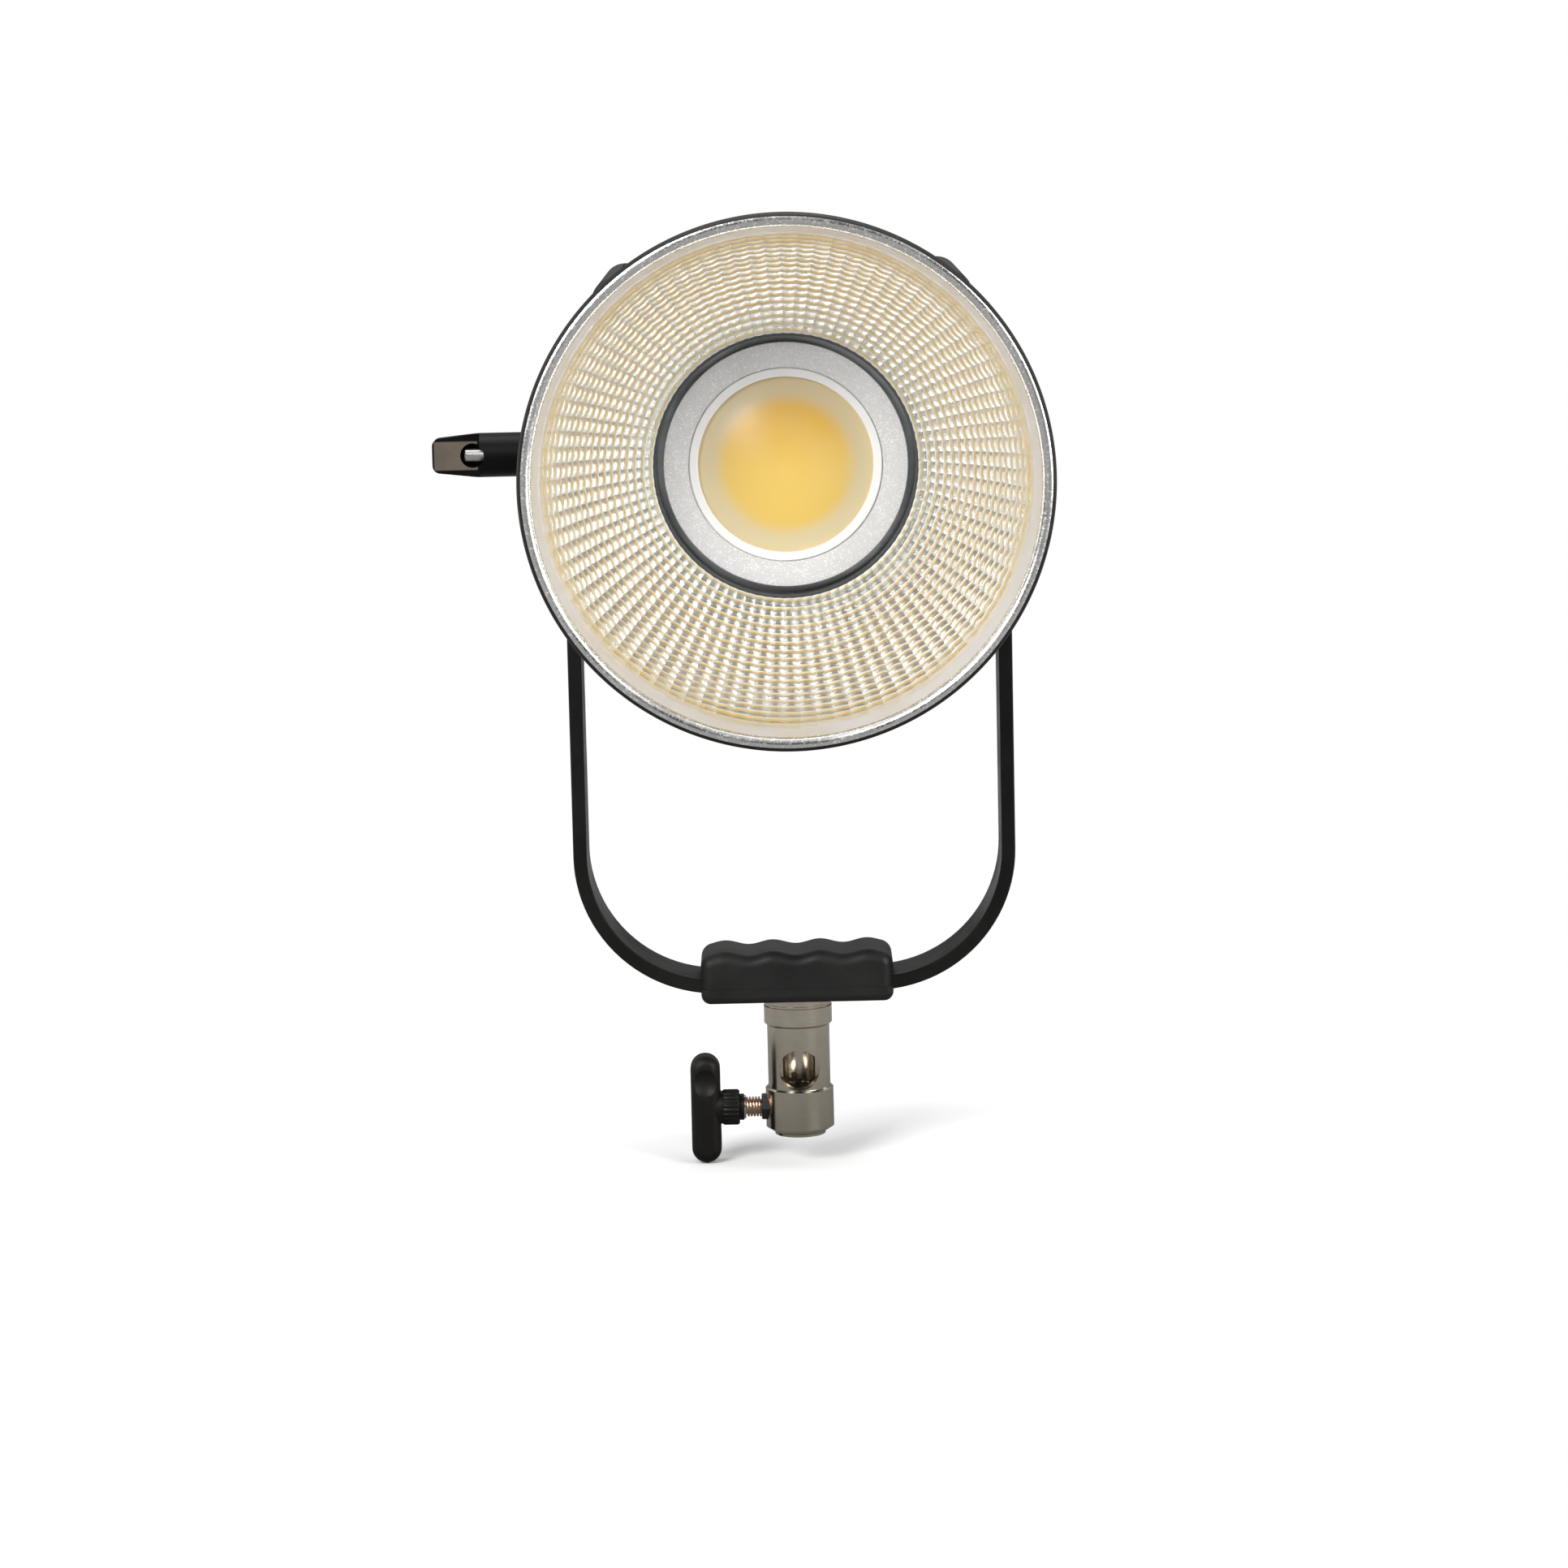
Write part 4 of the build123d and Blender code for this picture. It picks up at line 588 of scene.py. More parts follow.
@dataclass(frozen=True)
class MirrorFinish:
    """Pressed mirror aluminium: silver, with painted reflection tints, warmer in the middle rows and cooler
    next to the throat.

    A pair of numbers is the span over which one look fades into the next: distances from the optical
    axis in metres, or, for the facets, shares of their half length or half width.
    """

    name: str = "pressed_mirror_aluminium"
    silver: Colour = (0.86, 0.855, 0.835)
    # The two tints after silver are painted reflection colours, not the metal's own.
    painted_warm_reflection: Colour = (0.84, 0.765, 0.615)
    painted_cool_reflection: Colour = (0.80, 0.84, 0.83)
    lip: Colour = (0.84, 0.86, 0.94)
    # Painted highlight colour for each facet's inner end.
    painted_highlight: Colour = (1.0, 0.995, 0.985)
    # Painted shade colour for the facets' borders.
    painted_crease_shade: Colour = (0.52, 0.51, 0.48)
    roughness: float = 0.21
    lip_roughness: float = 0.42
    rough_patch: float = 0.03
    rough_tone: float = 0.08
    warm_reflection_share: float = 0.5
    crease_shade_share: float = 0.55
    cool_reflection_ends: Pair = (0.068, 0.084)
    warm_reflection_starts: Pair = (0.076, 0.094)
    warm_reflection_ends: Pair = (0.104, 0.118)
    lip_starts: Pair = (0.119, 0.122)
    highlight_depth: float = 0.45
    highlight_horns: float = 0.3
    highlight_fades: Pair = (-0.06, 0.14)
    end_shade_span: Pair = (1.5, 1.95)
    side_shade_span: Pair = (0.8, 1.0)
    side_shade_share: float = 0.3
    plain_rows: float = 5.0
    dark_tone: float = 0.7
    grain: float = 0.0007
    relief: float = 0.000015
    ring_pitch: float = 0.0012
    ring_relief: float = 0.00001

    def make(self, effects: Effects) -> Material:
        """Builds the material: painted reflection tints by distance from the axis, and on each facet a random
        shade, a painted highlight and a painted shade line.

        Args:
            effects: the shared node groups.

        Returns:
            The finished material.
        """
        material, graph, skin = start_material(self.name)
        where = graph.where()
        tone = graph.node("ShaderNodeAttribute", {"attribute_name": "facet_tone"}).outputs["Fac"]
        rings = graph.effect(effects.rings, Vector=where, Axis_Height=OPTIC_Z, Pitch=self.ring_pitch)
        radius = rings["Radius"]
        patches = graph.effect(effects.grain, Vector=where, Size=self.grain)
        # Painted reflections: a warmer tint in the middle rows, weaker on darker facets, and a cooler one next
        # to the throat.
        warm_reflection_amount = graph.span(radius, *self.warm_reflection_starts, 0.0, 1.0)
        warm_reflection_amount = graph.maths("MULTIPLY", warm_reflection_amount, graph.span(radius, *self.warm_reflection_ends, 1.0, 0.0))
        warm_reflection_amount = graph.maths("MULTIPLY", warm_reflection_amount, graph.span(tone, 0.0, 1.0, self.dark_tone, 1.0))
        colour = graph.blend(graph.span(radius, *self.cool_reflection_ends, 0.0, 1.0), self.painted_cool_reflection, self.silver)
        colour = graph.blend(graph.maths("MULTIPLY", warm_reflection_amount, self.warm_reflection_share), colour, self.painted_warm_reflection)
        # Masks of the painted highlight and the painted shade line on each facet.
        painted_highlight, painted_crease_shade = self.facet_masks(graph, where)
        # Painted shade along the facets' borders.
        colour = graph.blend(graph.maths("MULTIPLY", painted_crease_shade, self.crease_shade_share), colour, self.painted_crease_shade)
        # Painted highlight at each facet's inner end.
        colour = graph.blend(painted_highlight, colour, self.painted_highlight)
        lip = graph.span(radius, *self.lip_starts, 0.0, 1.0)
        smooth, dull = self.roughness - self.rough_patch, self.roughness + self.rough_patch
        rough = graph.span(patches["Patch"], 0.0, 1.0, smooth, dull)
        rough = graph.maths("ADD", rough, graph.maths("MULTIPLY", tone, self.rough_tone))
        rough = graph.maths("ADD", rough, graph.maths("MULTIPLY", lip, self.lip_roughness - self.roughness))
        normal = graph.bump(patches["Height"], self.relief)
        normal = graph.bump(rings["Height"], self.ring_relief, Normal=normal)
        graph.feed(skin, Base_Color=graph.blend(lip, colour, self.lip), Roughness=rough, Normal=normal)
        graph.feed(skin, Metallic=1.0)
        return material

    def facet_masks(self, graph: Graph, where: Socket) -> tuple[Socket, Socket]:
        """Finds the painted highlight, a bright arc at each facet's inner end, and the painted shade, a dull
        line along its other borders.

        With u from -1 to 1 across a facet and w from 0 to 2 along it, the painted highlight is where w < D (1 -
        u^2) + H |u|^6, D being its depth and H the reach of its horns. Both fade out over the last rows.

        Args:
            graph: the material's graph.
            where: the object coordinates.

        Returns:
            The painted highlight's mask and the painted shade line's mask.
        """
        spot = graph.node("ShaderNodeSeparateXYZ", Vector=where).outputs
        turn = graph.maths("ARCTAN2", graph.maths("SUBTRACT", spot["Z"], OPTIC_Z), spot["X"])
        turns = graph.maths("MULTIPLY", graph.maths("SUBTRACT", turn, pi / 2), FACET_COLUMNS / (2 * pi))
        across = graph.maths("ABSOLUTE", graph.maths("MULTIPLY_ADD", graph.maths("FRACT", turns), 2.0, -1.0))
        row = graph.node("ShaderNodeAttribute", {"attribute_name": "facet_row"}).outputs["Fac"]
        along = graph.maths("MULTIPLY", graph.maths("FRACT", row), 2.0)
        belly = graph.maths("SUBTRACT", 1.0, graph.maths("MULTIPLY", across, across))
        horns = graph.maths("MULTIPLY", graph.maths("POWER", across, 6.0), self.highlight_horns)
        border = graph.maths("MULTIPLY_ADD", belly, self.highlight_depth, horns)
        dimpled = graph.span(row, FACET_ROWS - self.plain_rows, FACET_ROWS, 1.0, 0.0)
        # Painted highlight mask, faded out over the last rows.
        painted_highlight = graph.span(graph.maths("SUBTRACT", along, border), *self.highlight_fades, 1.0, 0.0)
        # Painted shade line along the sides and far end of each facet.
        side = graph.span(across, *self.side_shade_span, 0.0, self.side_shade_share)
        line = graph.maths("MAXIMUM", graph.span(along, *self.end_shade_span, 0.0, 1.0), side)
        return graph.maths("MULTIPLY", painted_highlight, dimpled), graph.maths("MULTIPLY", line, dimpled)


@dataclass(frozen=True)
class LeverFinish:
    """The tilt lever's satin black, with a painted grey-brown sheen on the paddle's flat inside a dark border;
    the same grey-brown also marks rubbed places.
    """

    name: str = "lever_with_painted_sheen"
    black: Colour = (0.002, 0.0019, 0.0018)
    # Grey-brown of a painted sheen on the flat, also the colour of rubbed places.
    panel: Colour = (0.125, 0.105, 0.082)
    sheen_patch: Colour = (0.165, 0.14, 0.112)
    starts: float = -0.1825
    ends: float = -0.1600
    half: float = 0.0074
    face: Pair = (-0.0012, -0.0008)
    soft: float = 0.0004
    rough: Pair = (0.36, 0.46)
    grain: float = 0.0006
    relief: float = 0.00004
    rub_size: float = 0.02
    rub_amount: float = 0.1
    ior: float = 1.22

    def make(self, effects: Effects) -> Material:
        """Builds the material: the painted sheen's mask is a soft-edged box in X and Z on faces in front of the
        axis.

        Args:
            effects: the shared node groups.

        Returns:
            The finished material.
        """
        material, graph, skin = start_material(self.name)
        where = graph.where()
        x, y, z = graph.node("ShaderNodeSeparateXYZ", Vector=where).outputs
        up = graph.maths("ABSOLUTE", graph.maths("SUBTRACT", z, PIVOT_Z))
        soft = self.soft
        # Painted sheen: a soft-edged box on the paddle's flat face.
        mask = graph.span(up, self.half - soft, self.half + soft, 1.0, 0.0)
        mask = graph.maths("MULTIPLY", mask, graph.span(x, self.starts - soft, self.starts + soft, 0.0, 1.0))
        mask = graph.maths("MULTIPLY", mask, graph.span(x, self.ends - soft, self.ends + soft, 1.0, 0.0))
        mask = graph.maths("MULTIPLY", mask, graph.span(y, *self.face, 1.0, 0.0))
        grain = graph.effect(effects.grain, Vector=where, Size=self.grain)
        rubs = graph.effect(effects.rubs, Vector=where, Size=self.rub_size, Amount=self.rub_amount)
        face = graph.blend(grain["Patch"], self.panel, self.sheen_patch)
        # Black with the painted sheen, and rubbed places in the same grey-brown.
        colour = graph.blend(rubs["Mask"], graph.blend(mask, self.black, face), self.panel)
        rough = graph.span(grain["Patch"], 0.0, 1.0, *self.rough)
        normal = graph.bump(grain["Height"], self.relief)
        graph.feed(skin, Base_Color=colour, Roughness=rough, Normal=normal, IOR=self.ior)
        return material


@dataclass(frozen=True)
class DomeFinish:
    """The glass dome with the lit phosphor's yellow filling it, pale at the edge and darker, deeper orange
    above as painted shade.

    The painted shade's span is in metres above the axis, the haze's in shares of the dome's radius.
    """

    name: str = "phosphor_filled_dome"
    # Painted light and shade: brighter yellow low on the dome, deeper orange towards the top.
    bright: Colour = (0.80, 0.535, 0.10)
    painted_amber_shade: Colour = (0.80, 0.47, 0.08)
    haze: Colour = (0.72, 0.62, 0.41)
    radius: float = 0.0446
    amber_shade_starts: Pair = (-0.012, 0.034)
    haze_starts: Pair = (0.64, 0.88)
    haze_share: float = 0.85
    haze_patch: float = 0.12
    rough: Pair = (0.34, 0.42)
    grain: float = 0.0009
    relief: float = 0.000004
    ring_pitch: float = 0.004
    coat: float = 0.35
    coat_roughness: float = 0.3

    def make(self, effects: Effects) -> Material:
        """Builds the material: yellow with painted shade by height above the axis, haze by distance from it.

        Args:
            effects: the shared node groups.

        Returns:
            The finished material.
        """
        material, graph, skin = start_material(self.name)
        where = graph.where()
        rings = graph.effect(effects.rings, Vector=where, Axis_Height=OPTIC_Z, Pitch=self.ring_pitch)
        up = graph.maths("SUBTRACT", graph.node("ShaderNodeSeparateXYZ", Vector=where).outputs["Z"], OPTIC_Z)
        grain = graph.effect(effects.grain, Vector=where, Size=self.grain)
        patch = grain["Patch"]
        # Painted shade: the yellow deepens towards the top of the dome.
        colour = graph.blend(graph.span(up, *self.amber_shade_starts, 0.0, 1.0), self.bright, self.painted_amber_shade)
        inner, outer = (share * self.radius for share in self.haze_starts)
        edge = graph.span(rings["Radius"], inner, outer, 0.0, self.haze_share)
        colour = graph.blend(edge, colour, self.haze)
        colour = graph.blend(graph.maths("MULTIPLY", patch, self.haze_patch), colour, self.haze)
        rough = graph.span(patch, 0.0, 1.0, *self.rough)
        normal = graph.bump(grain["Height"], self.relief)
        graph.feed(skin, Base_Color=colour, Roughness=rough, Normal=normal)
        graph.feed(skin, Coat_Weight=self.coat, Coat_Roughness=self.coat_roughness)
        return material


class PaintShop:
    """Makes every material once and puts it on the CAD nodes by their slots."""

    def __init__(self) -> None:
        """Builds the shared effects and the materials."""
        effects = Effects()
        self.materials = {slot: finish.make(effects) for slot, finish in FINISHES.items()}
        self.materials["reflector_alu"] = MirrorFinish().make(effects)
        self.materials["dome_glass"] = DomeFinish().make(effects)
        self.materials["lever_paint"] = LeverFinish().make(effects)
        bead = Finish(
            "polished_bead", (0.70, 0.69, 0.67), (0.62, 0.61, 0.59), (0.84, 0.83, 0.81), metallic=1.0,
            roughness=0.22, grain=0.0009, relief=0.00002, fleck=0.0008, fleck_share=0.12,
        )
        self.materials["bead"] = bead.make(effects)

    def dress_nodes(self) -> None:
        """Swaps each CAD node's plain material for the finish of its slot."""
        for row in frame["record"]["subparts"]:
            dress(frame["nodes"][row["node"]], self.materials[row["material_slot"]])


def dress(piece: Piece, material: Material) -> None:
    """Puts one material on all of a piece.

    Args:
        piece: the object.
        material: its material.
    """
    if not piece.material_slots:
        piece.data.materials.append(material)
    for slot in piece.material_slots:
        slot.link = "OBJECT"
        slot.material = material


# ---- Mesh tools ----


def grid_mesh(name: str, points: np.ndarray, wrap_rows: bool, wrap_columns: bool) -> Mesh:
    """Makes a mesh of quads from a grid of points.

    Args:
        name: the mesh's name.
        points: rows by columns by 3, in metres. Faces look outwards where rows cross columns clockwise.
        wrap_rows: whether the last row joins the first.
        wrap_columns: whether the last column joins the first.

    Returns:
        The mesh. Vertex number is row times the number of columns plus column.
    """
    rows, columns = points.shape[:2]
    row = np.arange(rows if wrap_rows else rows - 1)[:, None]
    column = np.arange(columns if wrap_columns else columns - 1)[None, :]
    next_row, next_column = (row + 1) % rows, (column + 1) % columns
    here, above = row * columns, next_row * columns
    corners = [here + column, here + next_column, above + next_column, above + column]
    quads = np.stack(corners, axis=-1).reshape(-1, 4)
    mesh = bpy.data.meshes.new(name)
    mesh.vertices.add(rows * columns)
    mesh.vertices.foreach_set("co", points.astype(np.float32).ravel())
    mesh.loops.add(quads.size)
    mesh.loops.foreach_set("vertex_index", quads.astype(np.int32).ravel())
    mesh.polygons.add(len(quads))
    mesh.polygons.foreach_set("loop_start", np.arange(0, quads.size, 4, dtype=np.int32))
    mesh.update(calc_edges=True)
    mesh.shade_smooth()
    return mesh


def spun(profile: np.ndarray, angles: np.ndarray, height: float) -> np.ndarray:
    """Turns a profile about the optical axis.

    Args:
        profile: N by columns by 2, the distance from the axis and the place along Y.
        angles: the columns' angles from +X towards +Z.
        height: the axis's height.

    Returns:
        N by columns by 3 points.
    """
    radius, along = profile[..., 0], profile[..., 1]
    return np.stack([radius * np.cos(angles), along, height + radius * np.sin(angles)], axis=-1)


def place(mesh: Mesh, body: str, slot: str) -> Piece:
    """Makes a mesh an object at the origin that rides on a body.

    Args:
        mesh: the mesh, already in place.
        body: the CAD body it moves with.
        slot: the record's material slot; not used.

    Returns:
        The object.
    """
    piece = bpy.data.objects.new(mesh.name, mesh)
    bpy.context.scene.collection.objects.link(piece)
    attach(piece, body)
    return piece


# ---- Sub-assemblies ----


@dataclass
class DimpledReflector:
    """The reflector: one closed shell with pressed pillow facets inside, a rolled bead and a flange.

    The inside of the bowl is an arc from the throat's radius to the bead, which bulges outwards. Lengths
    are in metres, the bead's angles in degrees, and what is counted in facet rows fades the dimples out
    at the rim and in at the throat.
    """

    back_radius: float = 0.0676
    back: float = -0.0584
    sag: float = 0.0067
    wall: float = 0.0016
    bead_radius: float = 0.0036
    flange_radius: float = 0.080
    flange_step: float = 0.0002
    columns: int = FACET_COLUMNS
    column_steps: int = 6
    rows: int = FACET_ROWS
    row_steps: int = 4
    first_row: float = 0.0042
    last_row: float = 0.0018
    pillow: float = 0.095
    pillow_row: float = 0.00046
    seed: int = 11
    fade_rows: float = 6.0
    fade_over: float = 0.3
    start_over: float = 1.2
    start_rows: float = 1.8
    table_steps: int = 400
    inset: float = 0.00001
    band_steps: int = 9
    bead_steps: int = 34
    bead_starts: float = 180.0
    bead_blackens: float = 295.0
    bead_ends: float = 499.0
    outside_steps: int = 26
    bevel: float = 0.0002
    foot_gap: float = 0.0003
    foot_rows: int = 6
    bead_gap: float = 0.001

    def __post_init__(self) -> None:
        """Works out the bowl's arc from the CAD node's own box."""
        low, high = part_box("reflector")
        self.rim_radius = (high.x - low.x) / 2 - self.inset
        self.bead_middle = self.rim_radius - self.bead_radius
        self.bead_inner = self.bead_middle - self.bead_radius
        self.bead_y = low.y + self.bead_radius
        chord = np.array([self.bead_inner - self.back_radius, self.bead_y - self.back])
        length = np.hypot(*chord)
        self.outward = np.array([-chord[1], chord[0]]) / length
        self.arc_radius = (length**2 / 4 + self.sag**2) / (2 * self.sag)
        middle = np.array([self.back_radius, self.back]) + chord / 2 + self.sag * self.outward
        self.arc_centre = middle - self.arc_radius * self.outward
        ends = np.array([[self.back_radius, self.back], [self.bead_inner, self.bead_y]]) - self.arc_centre
        self.start_angle, self.end_angle = np.arctan2(ends[:, 1], ends[:, 0])

    def arc(self, angles: np.ndarray, offset: float = 0.0) -> np.ndarray:
        """Points on the bowl's arc: the centre plus the radius, and an offset outwards, at each angle.

        Args:
            angles: angles about the arc's centre.
            offset: how far outside the inner face.

        Returns:
            N by 2 points.
        """
        reach = self.arc_radius + offset
        return self.arc_centre + reach * np.stack([np.cos(angles), np.sin(angles)], axis=-1)

    def row_angles(self) -> tuple[np.ndarray, np.ndarray, np.ndarray]:
        """Where the facet rows lie on the arc: each is a little narrower, seen along the axis, than the last.

        Returns:
            The arc angles of the rows' steps, each step's place in its row from -1 to 1, and its row.
        """
        steps = np.linspace(self.first_row, self.last_row, self.rows)
        borders = self.back_radius + np.concatenate([[0.0], np.cumsum(steps)])
        borders = self.start_angle + self.angle_of_radius(borders) - self.angle_of_radius(borders[:1])
        share = np.arange(self.row_steps) / self.row_steps
        angles = borders[:-1, None] + share[None, :] * np.diff(borders)[:, None]
        place_in_row = np.broadcast_to(2 * share - 1, angles.shape)
        number = np.broadcast_to(np.arange(self.rows)[:, None], angles.shape)
        angles = np.append(angles.ravel(), borders[-1])
        return angles, np.append(place_in_row.ravel(), -1.0), np.append(number.ravel(), self.rows)

    def angle_of_radius(self, radius: np.ndarray) -> np.ndarray:
        """Turns distances from the optical axis into angles on the arc, by reading them off a fine table.

        Args:
            radius: distances from the axis.

        Returns:
            The arc's angles.
        """
        table = np.linspace(self.start_angle, self.end_angle, self.table_steps)
        return np.interp(radius, self.arc(table)[:, 0], table)

    def bowl(
        self, angles: np.ndarray, across: np.ndarray, number: np.ndarray, columns: np.ndarray
    ) -> np.ndarray:
        """The dimpled inner face.

        A facet stands in from the arc by h = H (1 - u^2) + K (1 - v^2), where u and v run from -1 to 1
        across and along it, H is a share of the facet's width and K the same for every row. Both fade out
        over the last rows, and H is lower in the first.

        Args:
            angles: the rows' arc angles.
            across: each row's v.
            number: each row's facet row.
            columns: each column's u.

        Returns:
            Rows by columns by 2 points.
        """
        line = self.arc(angles)
        fade = np.clip((self.rows + self.fade_over - number) / self.fade_rows, 0.0, 1.0) * (number < self.rows)
        start = np.clip((number + self.start_over) / self.start_rows, 0.0, 1.0)
        width = 2 * pi * line[:, 0] / self.columns
        high = self.pillow * width * fade * start
        rise = high[:, None] * (1 - columns**2) + (self.pillow_row * fade * (1 - across**2))[:, None]
        inward = (self.arc_centre - line) / self.arc_radius
        return line[:, None, :] + rise[..., None] * inward[:, None, :]

    def build(self, paint: PaintShop) -> Piece:
        """Builds the shell and gives it its three finishes.

        Args:
            paint: the materials.

        Returns:
            The reflector.
        """
        per_turn = self.columns * self.column_steps
        turns = 2 * pi * np.arange(per_turn) / per_turn + pi / 2
        u = 2 * (np.arange(per_turn) % self.column_steps) / self.column_steps - 1
        angles, across, number = self.row_angles()
        inner = self.bowl(angles, across, number, u)
        band = self.arc(np.linspace(angles[-1], self.end_angle, self.band_steps)[1:])
        bead_turn = np.linspace(self.bead_starts, self.bead_ends, self.bead_steps)[1:]
        bead = self.bead_line(np.radians(bead_turn))
        plain = np.concatenate([band, bead, self.back_line(bead[-1, 1] + self.bead_gap)])
        plain = np.broadcast_to(plain[:, None, :], (len(plain), per_turn, 2))
        points = spun(np.concatenate([inner, plain]), turns, OPTIC_Z)
        mesh = grid_mesh("dimpled_reflector", points, wrap_rows=True, wrap_columns=True)
        rows = len(points)
        bead_start = len(inner) + len(band)
        black_start = bead_start + int(np.searchsorted(bead_turn, self.bead_blackens))
        skins = np.full(rows, Skin.MIRROR.value)
        skins[bead_start - 1 : black_start] = Skin.BEAD.value
        skins[black_start:] = Skin.BACK.value
        mesh.polygons.foreach_set("material_index", np.repeat(skins, per_turn).astype(np.int32))
        self.crease(mesh, len(inner), bead_start, rows, per_turn)
        self.tone(mesh, number, across, rows, per_turn)
        for slot in ("reflector_alu", "bead", "case_paint"):
            mesh.materials.append(paint.materials[slot])
        piece = place(mesh, "head", "reflector_alu")
        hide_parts("reflector")
        return piece

    def bead_line(self, turn: np.ndarray) -> np.ndarray:
        """Points on the rolled bead: its middle plus its radius at each angle.

        Args:
            turn: angles from the outward direction towards the back, in radians.

        Returns:
            N by 2 points.
        """
        middle = np.array([self.bead_middle, self.bead_y])
        return middle + self.bead_radius * np.stack([np.cos(turn), np.sin(turn)], axis=-1)

    def back_line(self, start: float) -> np.ndarray:
        """The outside: the bowl's arc moved out by the wall, then the flange's foot_rows of bevelled corners.

        Args:
            start: the place along Y where the arc comes out of the bead.

        Returns:
            N by 2 points.
        """
        bevel = self.bevel
        back = self.back + self.flange_step
        front = back - self.wall
        outside = self.arc(np.linspace(self.end_angle, self.start_angle, self.outside_steps), self.wall)
        outside = outside[(outside[:, 1] > start) & (outside[:, 1] < front - bevel)]
        foot = [
            [outside[-1, 0] - self.foot_gap, front],
            [self.flange_radius - bevel, front],
            [self.flange_radius, front + bevel],
            [self.flange_radius, back - bevel],
            [self.flange_radius - bevel, back],
            [self.back_radius + bevel, back],
        ]
        return np.concatenate([outside, foot])

    def crease(self, mesh: Mesh, dimpled: int, bead_start: int, rows: int, per_turn: int) -> None:
        """Marks the facets' borders, the bead's foot and the flange's corners as sharp edges.

        Args:
            mesh: the shell's mesh.
            dimpled: how many rows the facets take.
            bead_start: the bead's first row.
            rows: all rows.
            per_turn: all columns.
        """
        sharp_row = np.zeros(rows, bool)
        sharp_row[: dimpled : self.row_steps] = True
        sharp_row[bead_start - 1] = True
        sharp_row[-self.foot_rows :] = True
        ends = np.zeros(len(mesh.edges) * 2, np.int32)
        mesh.edges.foreach_get("vertices", ends)
        row, column = np.divmod(ends.reshape(-1, 2), per_turn)
        along = (row[:, 0] == row[:, 1]) & sharp_row[row[:, 0]]
        down = (column[:, 0] == column[:, 1]) & (column[:, 0] % self.column_steps == 0) & (row.max(1) < dimpled)
        mesh.attributes.new("sharp_edge", "BOOLEAN", "EDGE").data.foreach_set("value", along | down)

    def tone(self, mesh: Mesh, number: np.ndarray, across: np.ndarray, rows: int, per_turn: int) -> None:
        """Gives each facet a shade from 0 to 1 from a seeded draw, and each point its place in facet rows.

        Args:
            mesh: the shell's mesh.
            number: the facet row of each dimpled row.
            across: each dimpled row's v.
            rows: all rows.
            per_turn: all columns.
        """
        shades = np.random.default_rng(self.seed).random((self.rows + 1, self.columns))
        tones = np.full((rows, per_turn), 0.5)
        tones[: len(number)] = np.repeat(shades[number.astype(int)], self.column_steps, axis=1)
        tones = tones.astype(np.float32).ravel()
        mesh.attributes.new("facet_tone", "FLOAT", "FACE").data.foreach_set("value", tones)
        row_place = np.full(rows, float(self.rows))
        row_place[: len(number)] = number + (across + 1) / 2
        places = np.repeat(row_place, per_turn).astype(np.float32)
        mesh.attributes.new("facet_row", "FLOAT", "POINT").data.foreach_set("value", places)


@dataclass
class ClampHub:
    """The fluted collar on the T handle's hub.

    Its two ends are rounded in three steps, as far from an end, taken off the radius and left of the ribs
    as the three tuples say.
    """

    ribs: int = 22
    rib_depth: float = 0.0006
    steps: int = 8
    outer: float = 0.0089
    inner: float = 0.0085
    length: float = 0.0088
    set_back: float = 0.0026
    end_round: float = 0.0007
    from_end: Triple = (0.0, 0.0002, 0.0009)
    taken_off: Triple = (1.0, 0.3, 0.0)
    ribs_left: Triple = (0.2, 0.8, 1.0)

    def build(self, paint: PaintShop) -> Piece:
        """Builds the collar as a tube about the clamp's axis.

        Its radius is the hub's plus d |cos(n a / 2)|, where a goes once round and n is the number of ribs.

        Args:
            paint: the materials.

        Returns:
            The collar.
        """
        screw_low, screw_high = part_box("clamp_screw")
        axis_z = (screw_low.z + screw_high.z) / 2
        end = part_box("clamp_handle")[1].x - self.set_back
        start = end - self.length
        lead, left = np.array(self.from_end), np.array(self.ribs_left)
        rounds = self.end_round * np.array([*self.taken_off, *self.taken_off[::-1]])
        turns = 2 * pi * np.arange(self.ribs * self.steps) / (self.ribs * self.steps)
        ribbed = self.rib_depth * np.abs(np.cos(self.ribs * turns / 2))
        outside = self.outer - rounds[:, None] + ribbed * np.concatenate([left, left[::-1]])[:, None]
        radius = np.concatenate([outside, np.full((2, len(turns)), self.inner)])
        along = np.concatenate([start + lead, end - lead[::-1], [end, start]])[:, None]
        along = np.broadcast_to(along, radius.shape)
        points = np.stack([along, radius * np.cos(turns), axis_z + radius * np.sin(turns)], axis=-1)
        mesh = grid_mesh("handle_hub_ribs", points[:, ::-1], wrap_rows=True, wrap_columns=True)
        piece = place(mesh, "clamp_turner", "handle_plastic")
        mesh.materials.append(paint.materials["handle_plastic"])
        return piece


# ---- Studio ----


@dataclass(frozen=True)
class Panel:
    """One soft light panel: where it hangs, its width and height in metres and its power in watts."""

    name: str
    spot: Triple
    width: float
    height: float
    power: float


PANELS = (
    Panel("key_panel", (-1.3, -1.9, 1.5), 1.1, 1.1, 60.0),
    Panel("fill_panel", (1.7, -1.5, 0.9), 1.0, 1.4, 36.0),
    Panel("top_panel", (0.0, 0.1, 1.9), 1.4, 1.0, 16.0),
    Panel("left_strip", (-1.5, 0.5, 0.7), 0.35, 1.5, 5.0),
    Panel("right_strip", (1.5, 0.5, 0.7), 0.35, 1.5, 5.0),
)


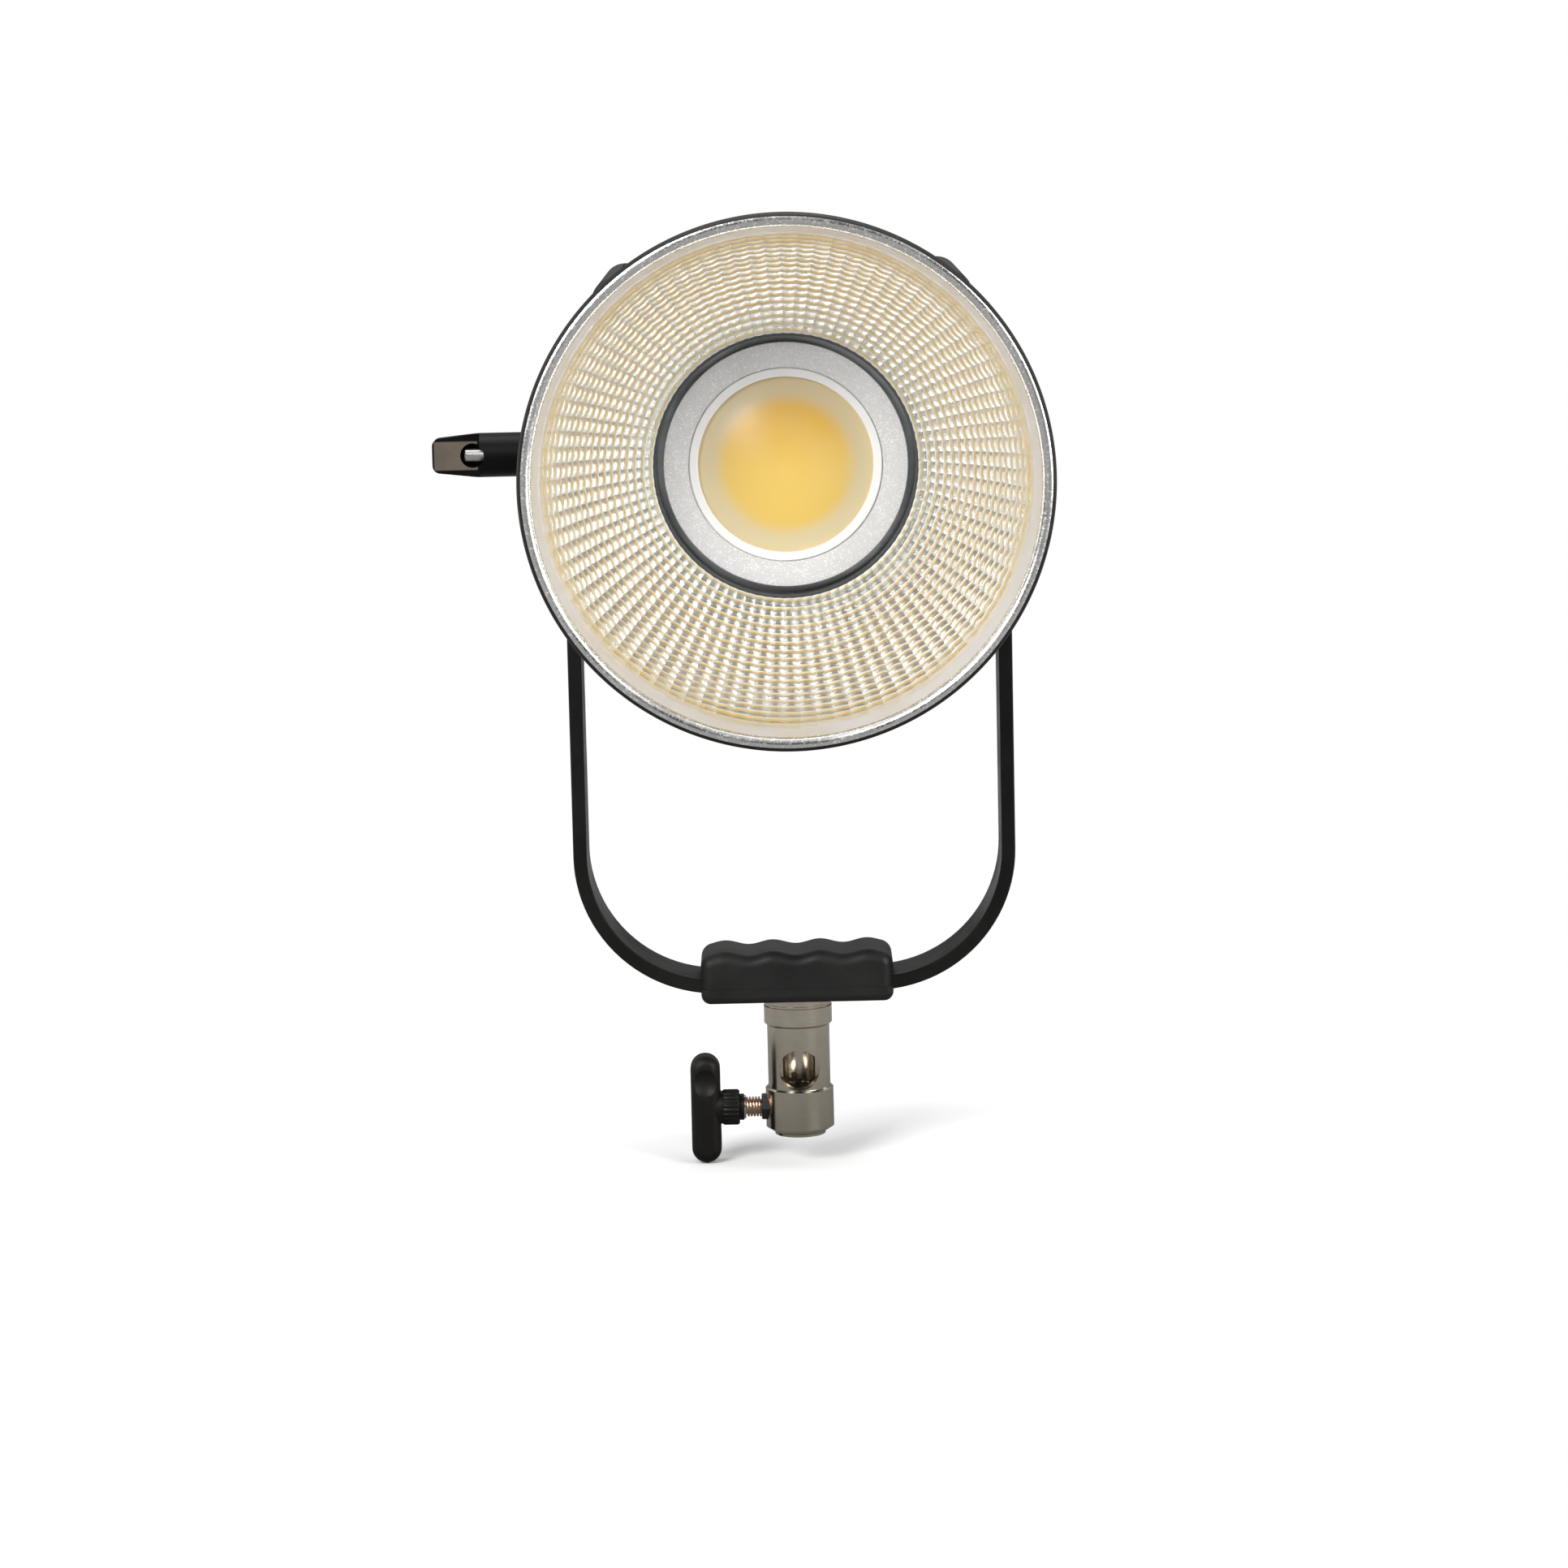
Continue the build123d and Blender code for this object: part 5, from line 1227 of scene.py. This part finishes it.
@dataclass
class Studio:
    """The pale floor, the soft lights, the white surround and the camera.

    Angles are in degrees. The sky's spans are shares of a direction's length along Z and along Y.
    """

    lens: float = 110.05
    camera: Triple = (-0.0046, -2.491, 0.5612)
    tip: float = 8.54
    roll: float = 1.3
    sees_to: float = 100.0
    floor_reach: float = 30.0
    floor_gap: float = 0.0004
    glow_near: float = 0.12
    glow_far: float = 0.55
    floor_light: float = 0.45
    floor_shade: Colour = (0.22, 0.22, 0.215)
    floor_pale: Colour = (0.93, 0.93, 0.93)
    floor_patch: Colour = (0.91, 0.91, 0.905)
    floor_middle: Pair = (1e-4, 0.2)
    floor_turns: int = 64
    floor_rings: int = 14
    sky_below: Colour = (0.15, 0.15, 0.145)
    sky_above: Colour = (0.85, 0.85, 0.86)
    sky_front: Colour = (0.03, 0.03, 0.03)
    sky_strength: float = 0.8
    sky_rises: Pair = (-0.1, 0.9)
    front_ends: Pair = (-0.97, -0.5)
    front_share: float = 0.9
    panels_face: Triple = (0.0, 0.0, 0.3)

    def build(self) -> None:
        """Sets up everything round the object."""
        self.add_camera()
        self.add_floor()
        self.add_surround()
        for panel in PANELS:
            self.add_light(panel)

    def add_camera(self) -> None:
        """Puts the camera in front and a little above, tipped down and rolled."""
        data = bpy.data.cameras.new("camera")
        data.lens = self.lens
        data.clip_end = self.sees_to
        camera = bpy.data.objects.new("camera", data)
        turn = Matrix.Rotation(radians(90 - self.tip), 4, "X") @ Matrix.Rotation(radians(-self.roll), 4, "Z")
        camera.matrix_world = Matrix.Translation(self.camera) @ turn
        bpy.context.scene.collection.objects.link(camera)
        bpy.context.scene.camera = camera
        bpy.context.scene.view_settings.view_transform = "Standard"

    def add_floor(self) -> None:
        """Lays a round floor just under the lowest point: rings of points, wider and wider apart.

        Away from the object it glows to white, and it is darker to everything but the camera.
        """
        low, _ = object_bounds()
        hub, first = self.floor_middle
        rings = np.concatenate([[hub], np.geomspace(first, self.floor_reach, self.floor_rings)])[:, None]
        turns = 2 * pi * np.arange(self.floor_turns) / self.floor_turns
        level = np.full((len(rings), self.floor_turns), low.z - self.floor_gap)
        points = np.stack([rings * np.cos(turns), rings * np.sin(turns), level], axis=-1)
        mesh = grid_mesh("studio_floor", points[::-1], wrap_rows=False, wrap_columns=True)
        floor = bpy.data.objects.new("studio_floor", mesh)
        bpy.context.scene.collection.objects.link(floor)
        material, graph, skin = start_material("pale_floor")
        where = graph.where()
        patch = graph.noise(where, 3.0, 3.0).outputs["Fac"]
        away = graph.node("ShaderNodeVectorMath", {"operation": "LENGTH"}, Vector=where).outputs["Value"]
        glow = graph.span(away, self.glow_near, self.glow_far, 0.0, 1.0)
        pale = graph.blend(patch, self.floor_pale, self.floor_patch)
        seen = graph.node("ShaderNodeLightPath").outputs["Is Camera Ray"]
        colour = graph.blend(glow, graph.blend(seen, self.floor_shade, pale), (0.0, 0.0, 0.0))
        light = graph.maths("MULTIPLY", glow, graph.span(seen, 0.0, 1.0, self.floor_light, 1.0))
        graph.feed(skin, Base_Color=colour, Emission_Strength=light, Emission_Color=WHITE)
        graph.feed(skin, Specular_IOR_Level=0.0, Roughness=0.7)
        mesh.materials.append(material)
        floor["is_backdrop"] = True

    def add_surround(self) -> None:
        """Surrounds the set: white to the camera, to everything else grey, brighter above and dark in front."""
        world = bpy.data.worlds.new("studio")
        bpy.context.scene.world = world
        world.use_nodes = True
        world.node_tree.nodes.clear()
        graph = Graph(world.node_tree)
        facing = graph.node("ShaderNodeTexCoord").outputs["Generated"]
        _, y, z = graph.node("ShaderNodeSeparateXYZ", Vector=facing).outputs
        rise = graph.span(z, *self.sky_rises, 0.0, 1.0)
        front = graph.span(y, *self.front_ends, self.front_share, 0.0)
        shade = graph.blend(front, graph.blend(rise, self.sky_below, self.sky_above), self.sky_front)
        soft = graph.node("ShaderNodeBackground", Color=shade, Strength=self.sky_strength)
        white = graph.node("ShaderNodeBackground", Color=WHITE, Strength=1.0)
        seen = graph.node("ShaderNodeLightPath").outputs["Is Camera Ray"]
        mixed = graph.node("ShaderNodeMixShader", i0=seen, i1=soft.outputs[0], i2=white.outputs[0])
        graph.node("ShaderNodeOutputWorld", Surface=mixed.outputs[0])

    def add_light(self, panel: Panel) -> None:
        """Hangs one soft panel that faces the yoke.

        Args:
            panel: the light's sizes.
        """
        data = bpy.data.lights.new(panel.name, "AREA")
        data.shape = "RECTANGLE"
        data.size, data.size_y = panel.width, panel.height
        data.energy = panel.power
        light = bpy.data.objects.new(panel.name, data)
        light.location = panel.spot
        light.rotation_mode = "QUATERNION"
        towards = Vector(self.panels_face) - Vector(panel.spot)
        light.rotation_quaternion = towards.to_track_quat("-Z", "Y")
        bpy.context.scene.collection.objects.link(light)


def main() -> None:
    """Builds the studio and the object's finished pieces in order."""
    logging.basicConfig(level=logging.INFO, format="%(name)s: %(message)s")
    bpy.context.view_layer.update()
    Studio().build()
    paint = PaintShop()
    paint.dress_nodes()
    log.info("dressed %d CAD nodes in %d finishes", len(frame["nodes"]), len(paint.materials))
    for assembly in (DimpledReflector(), ClampHub()):
        piece = assembly.build(paint)


if __name__ == "__main__":
    main()
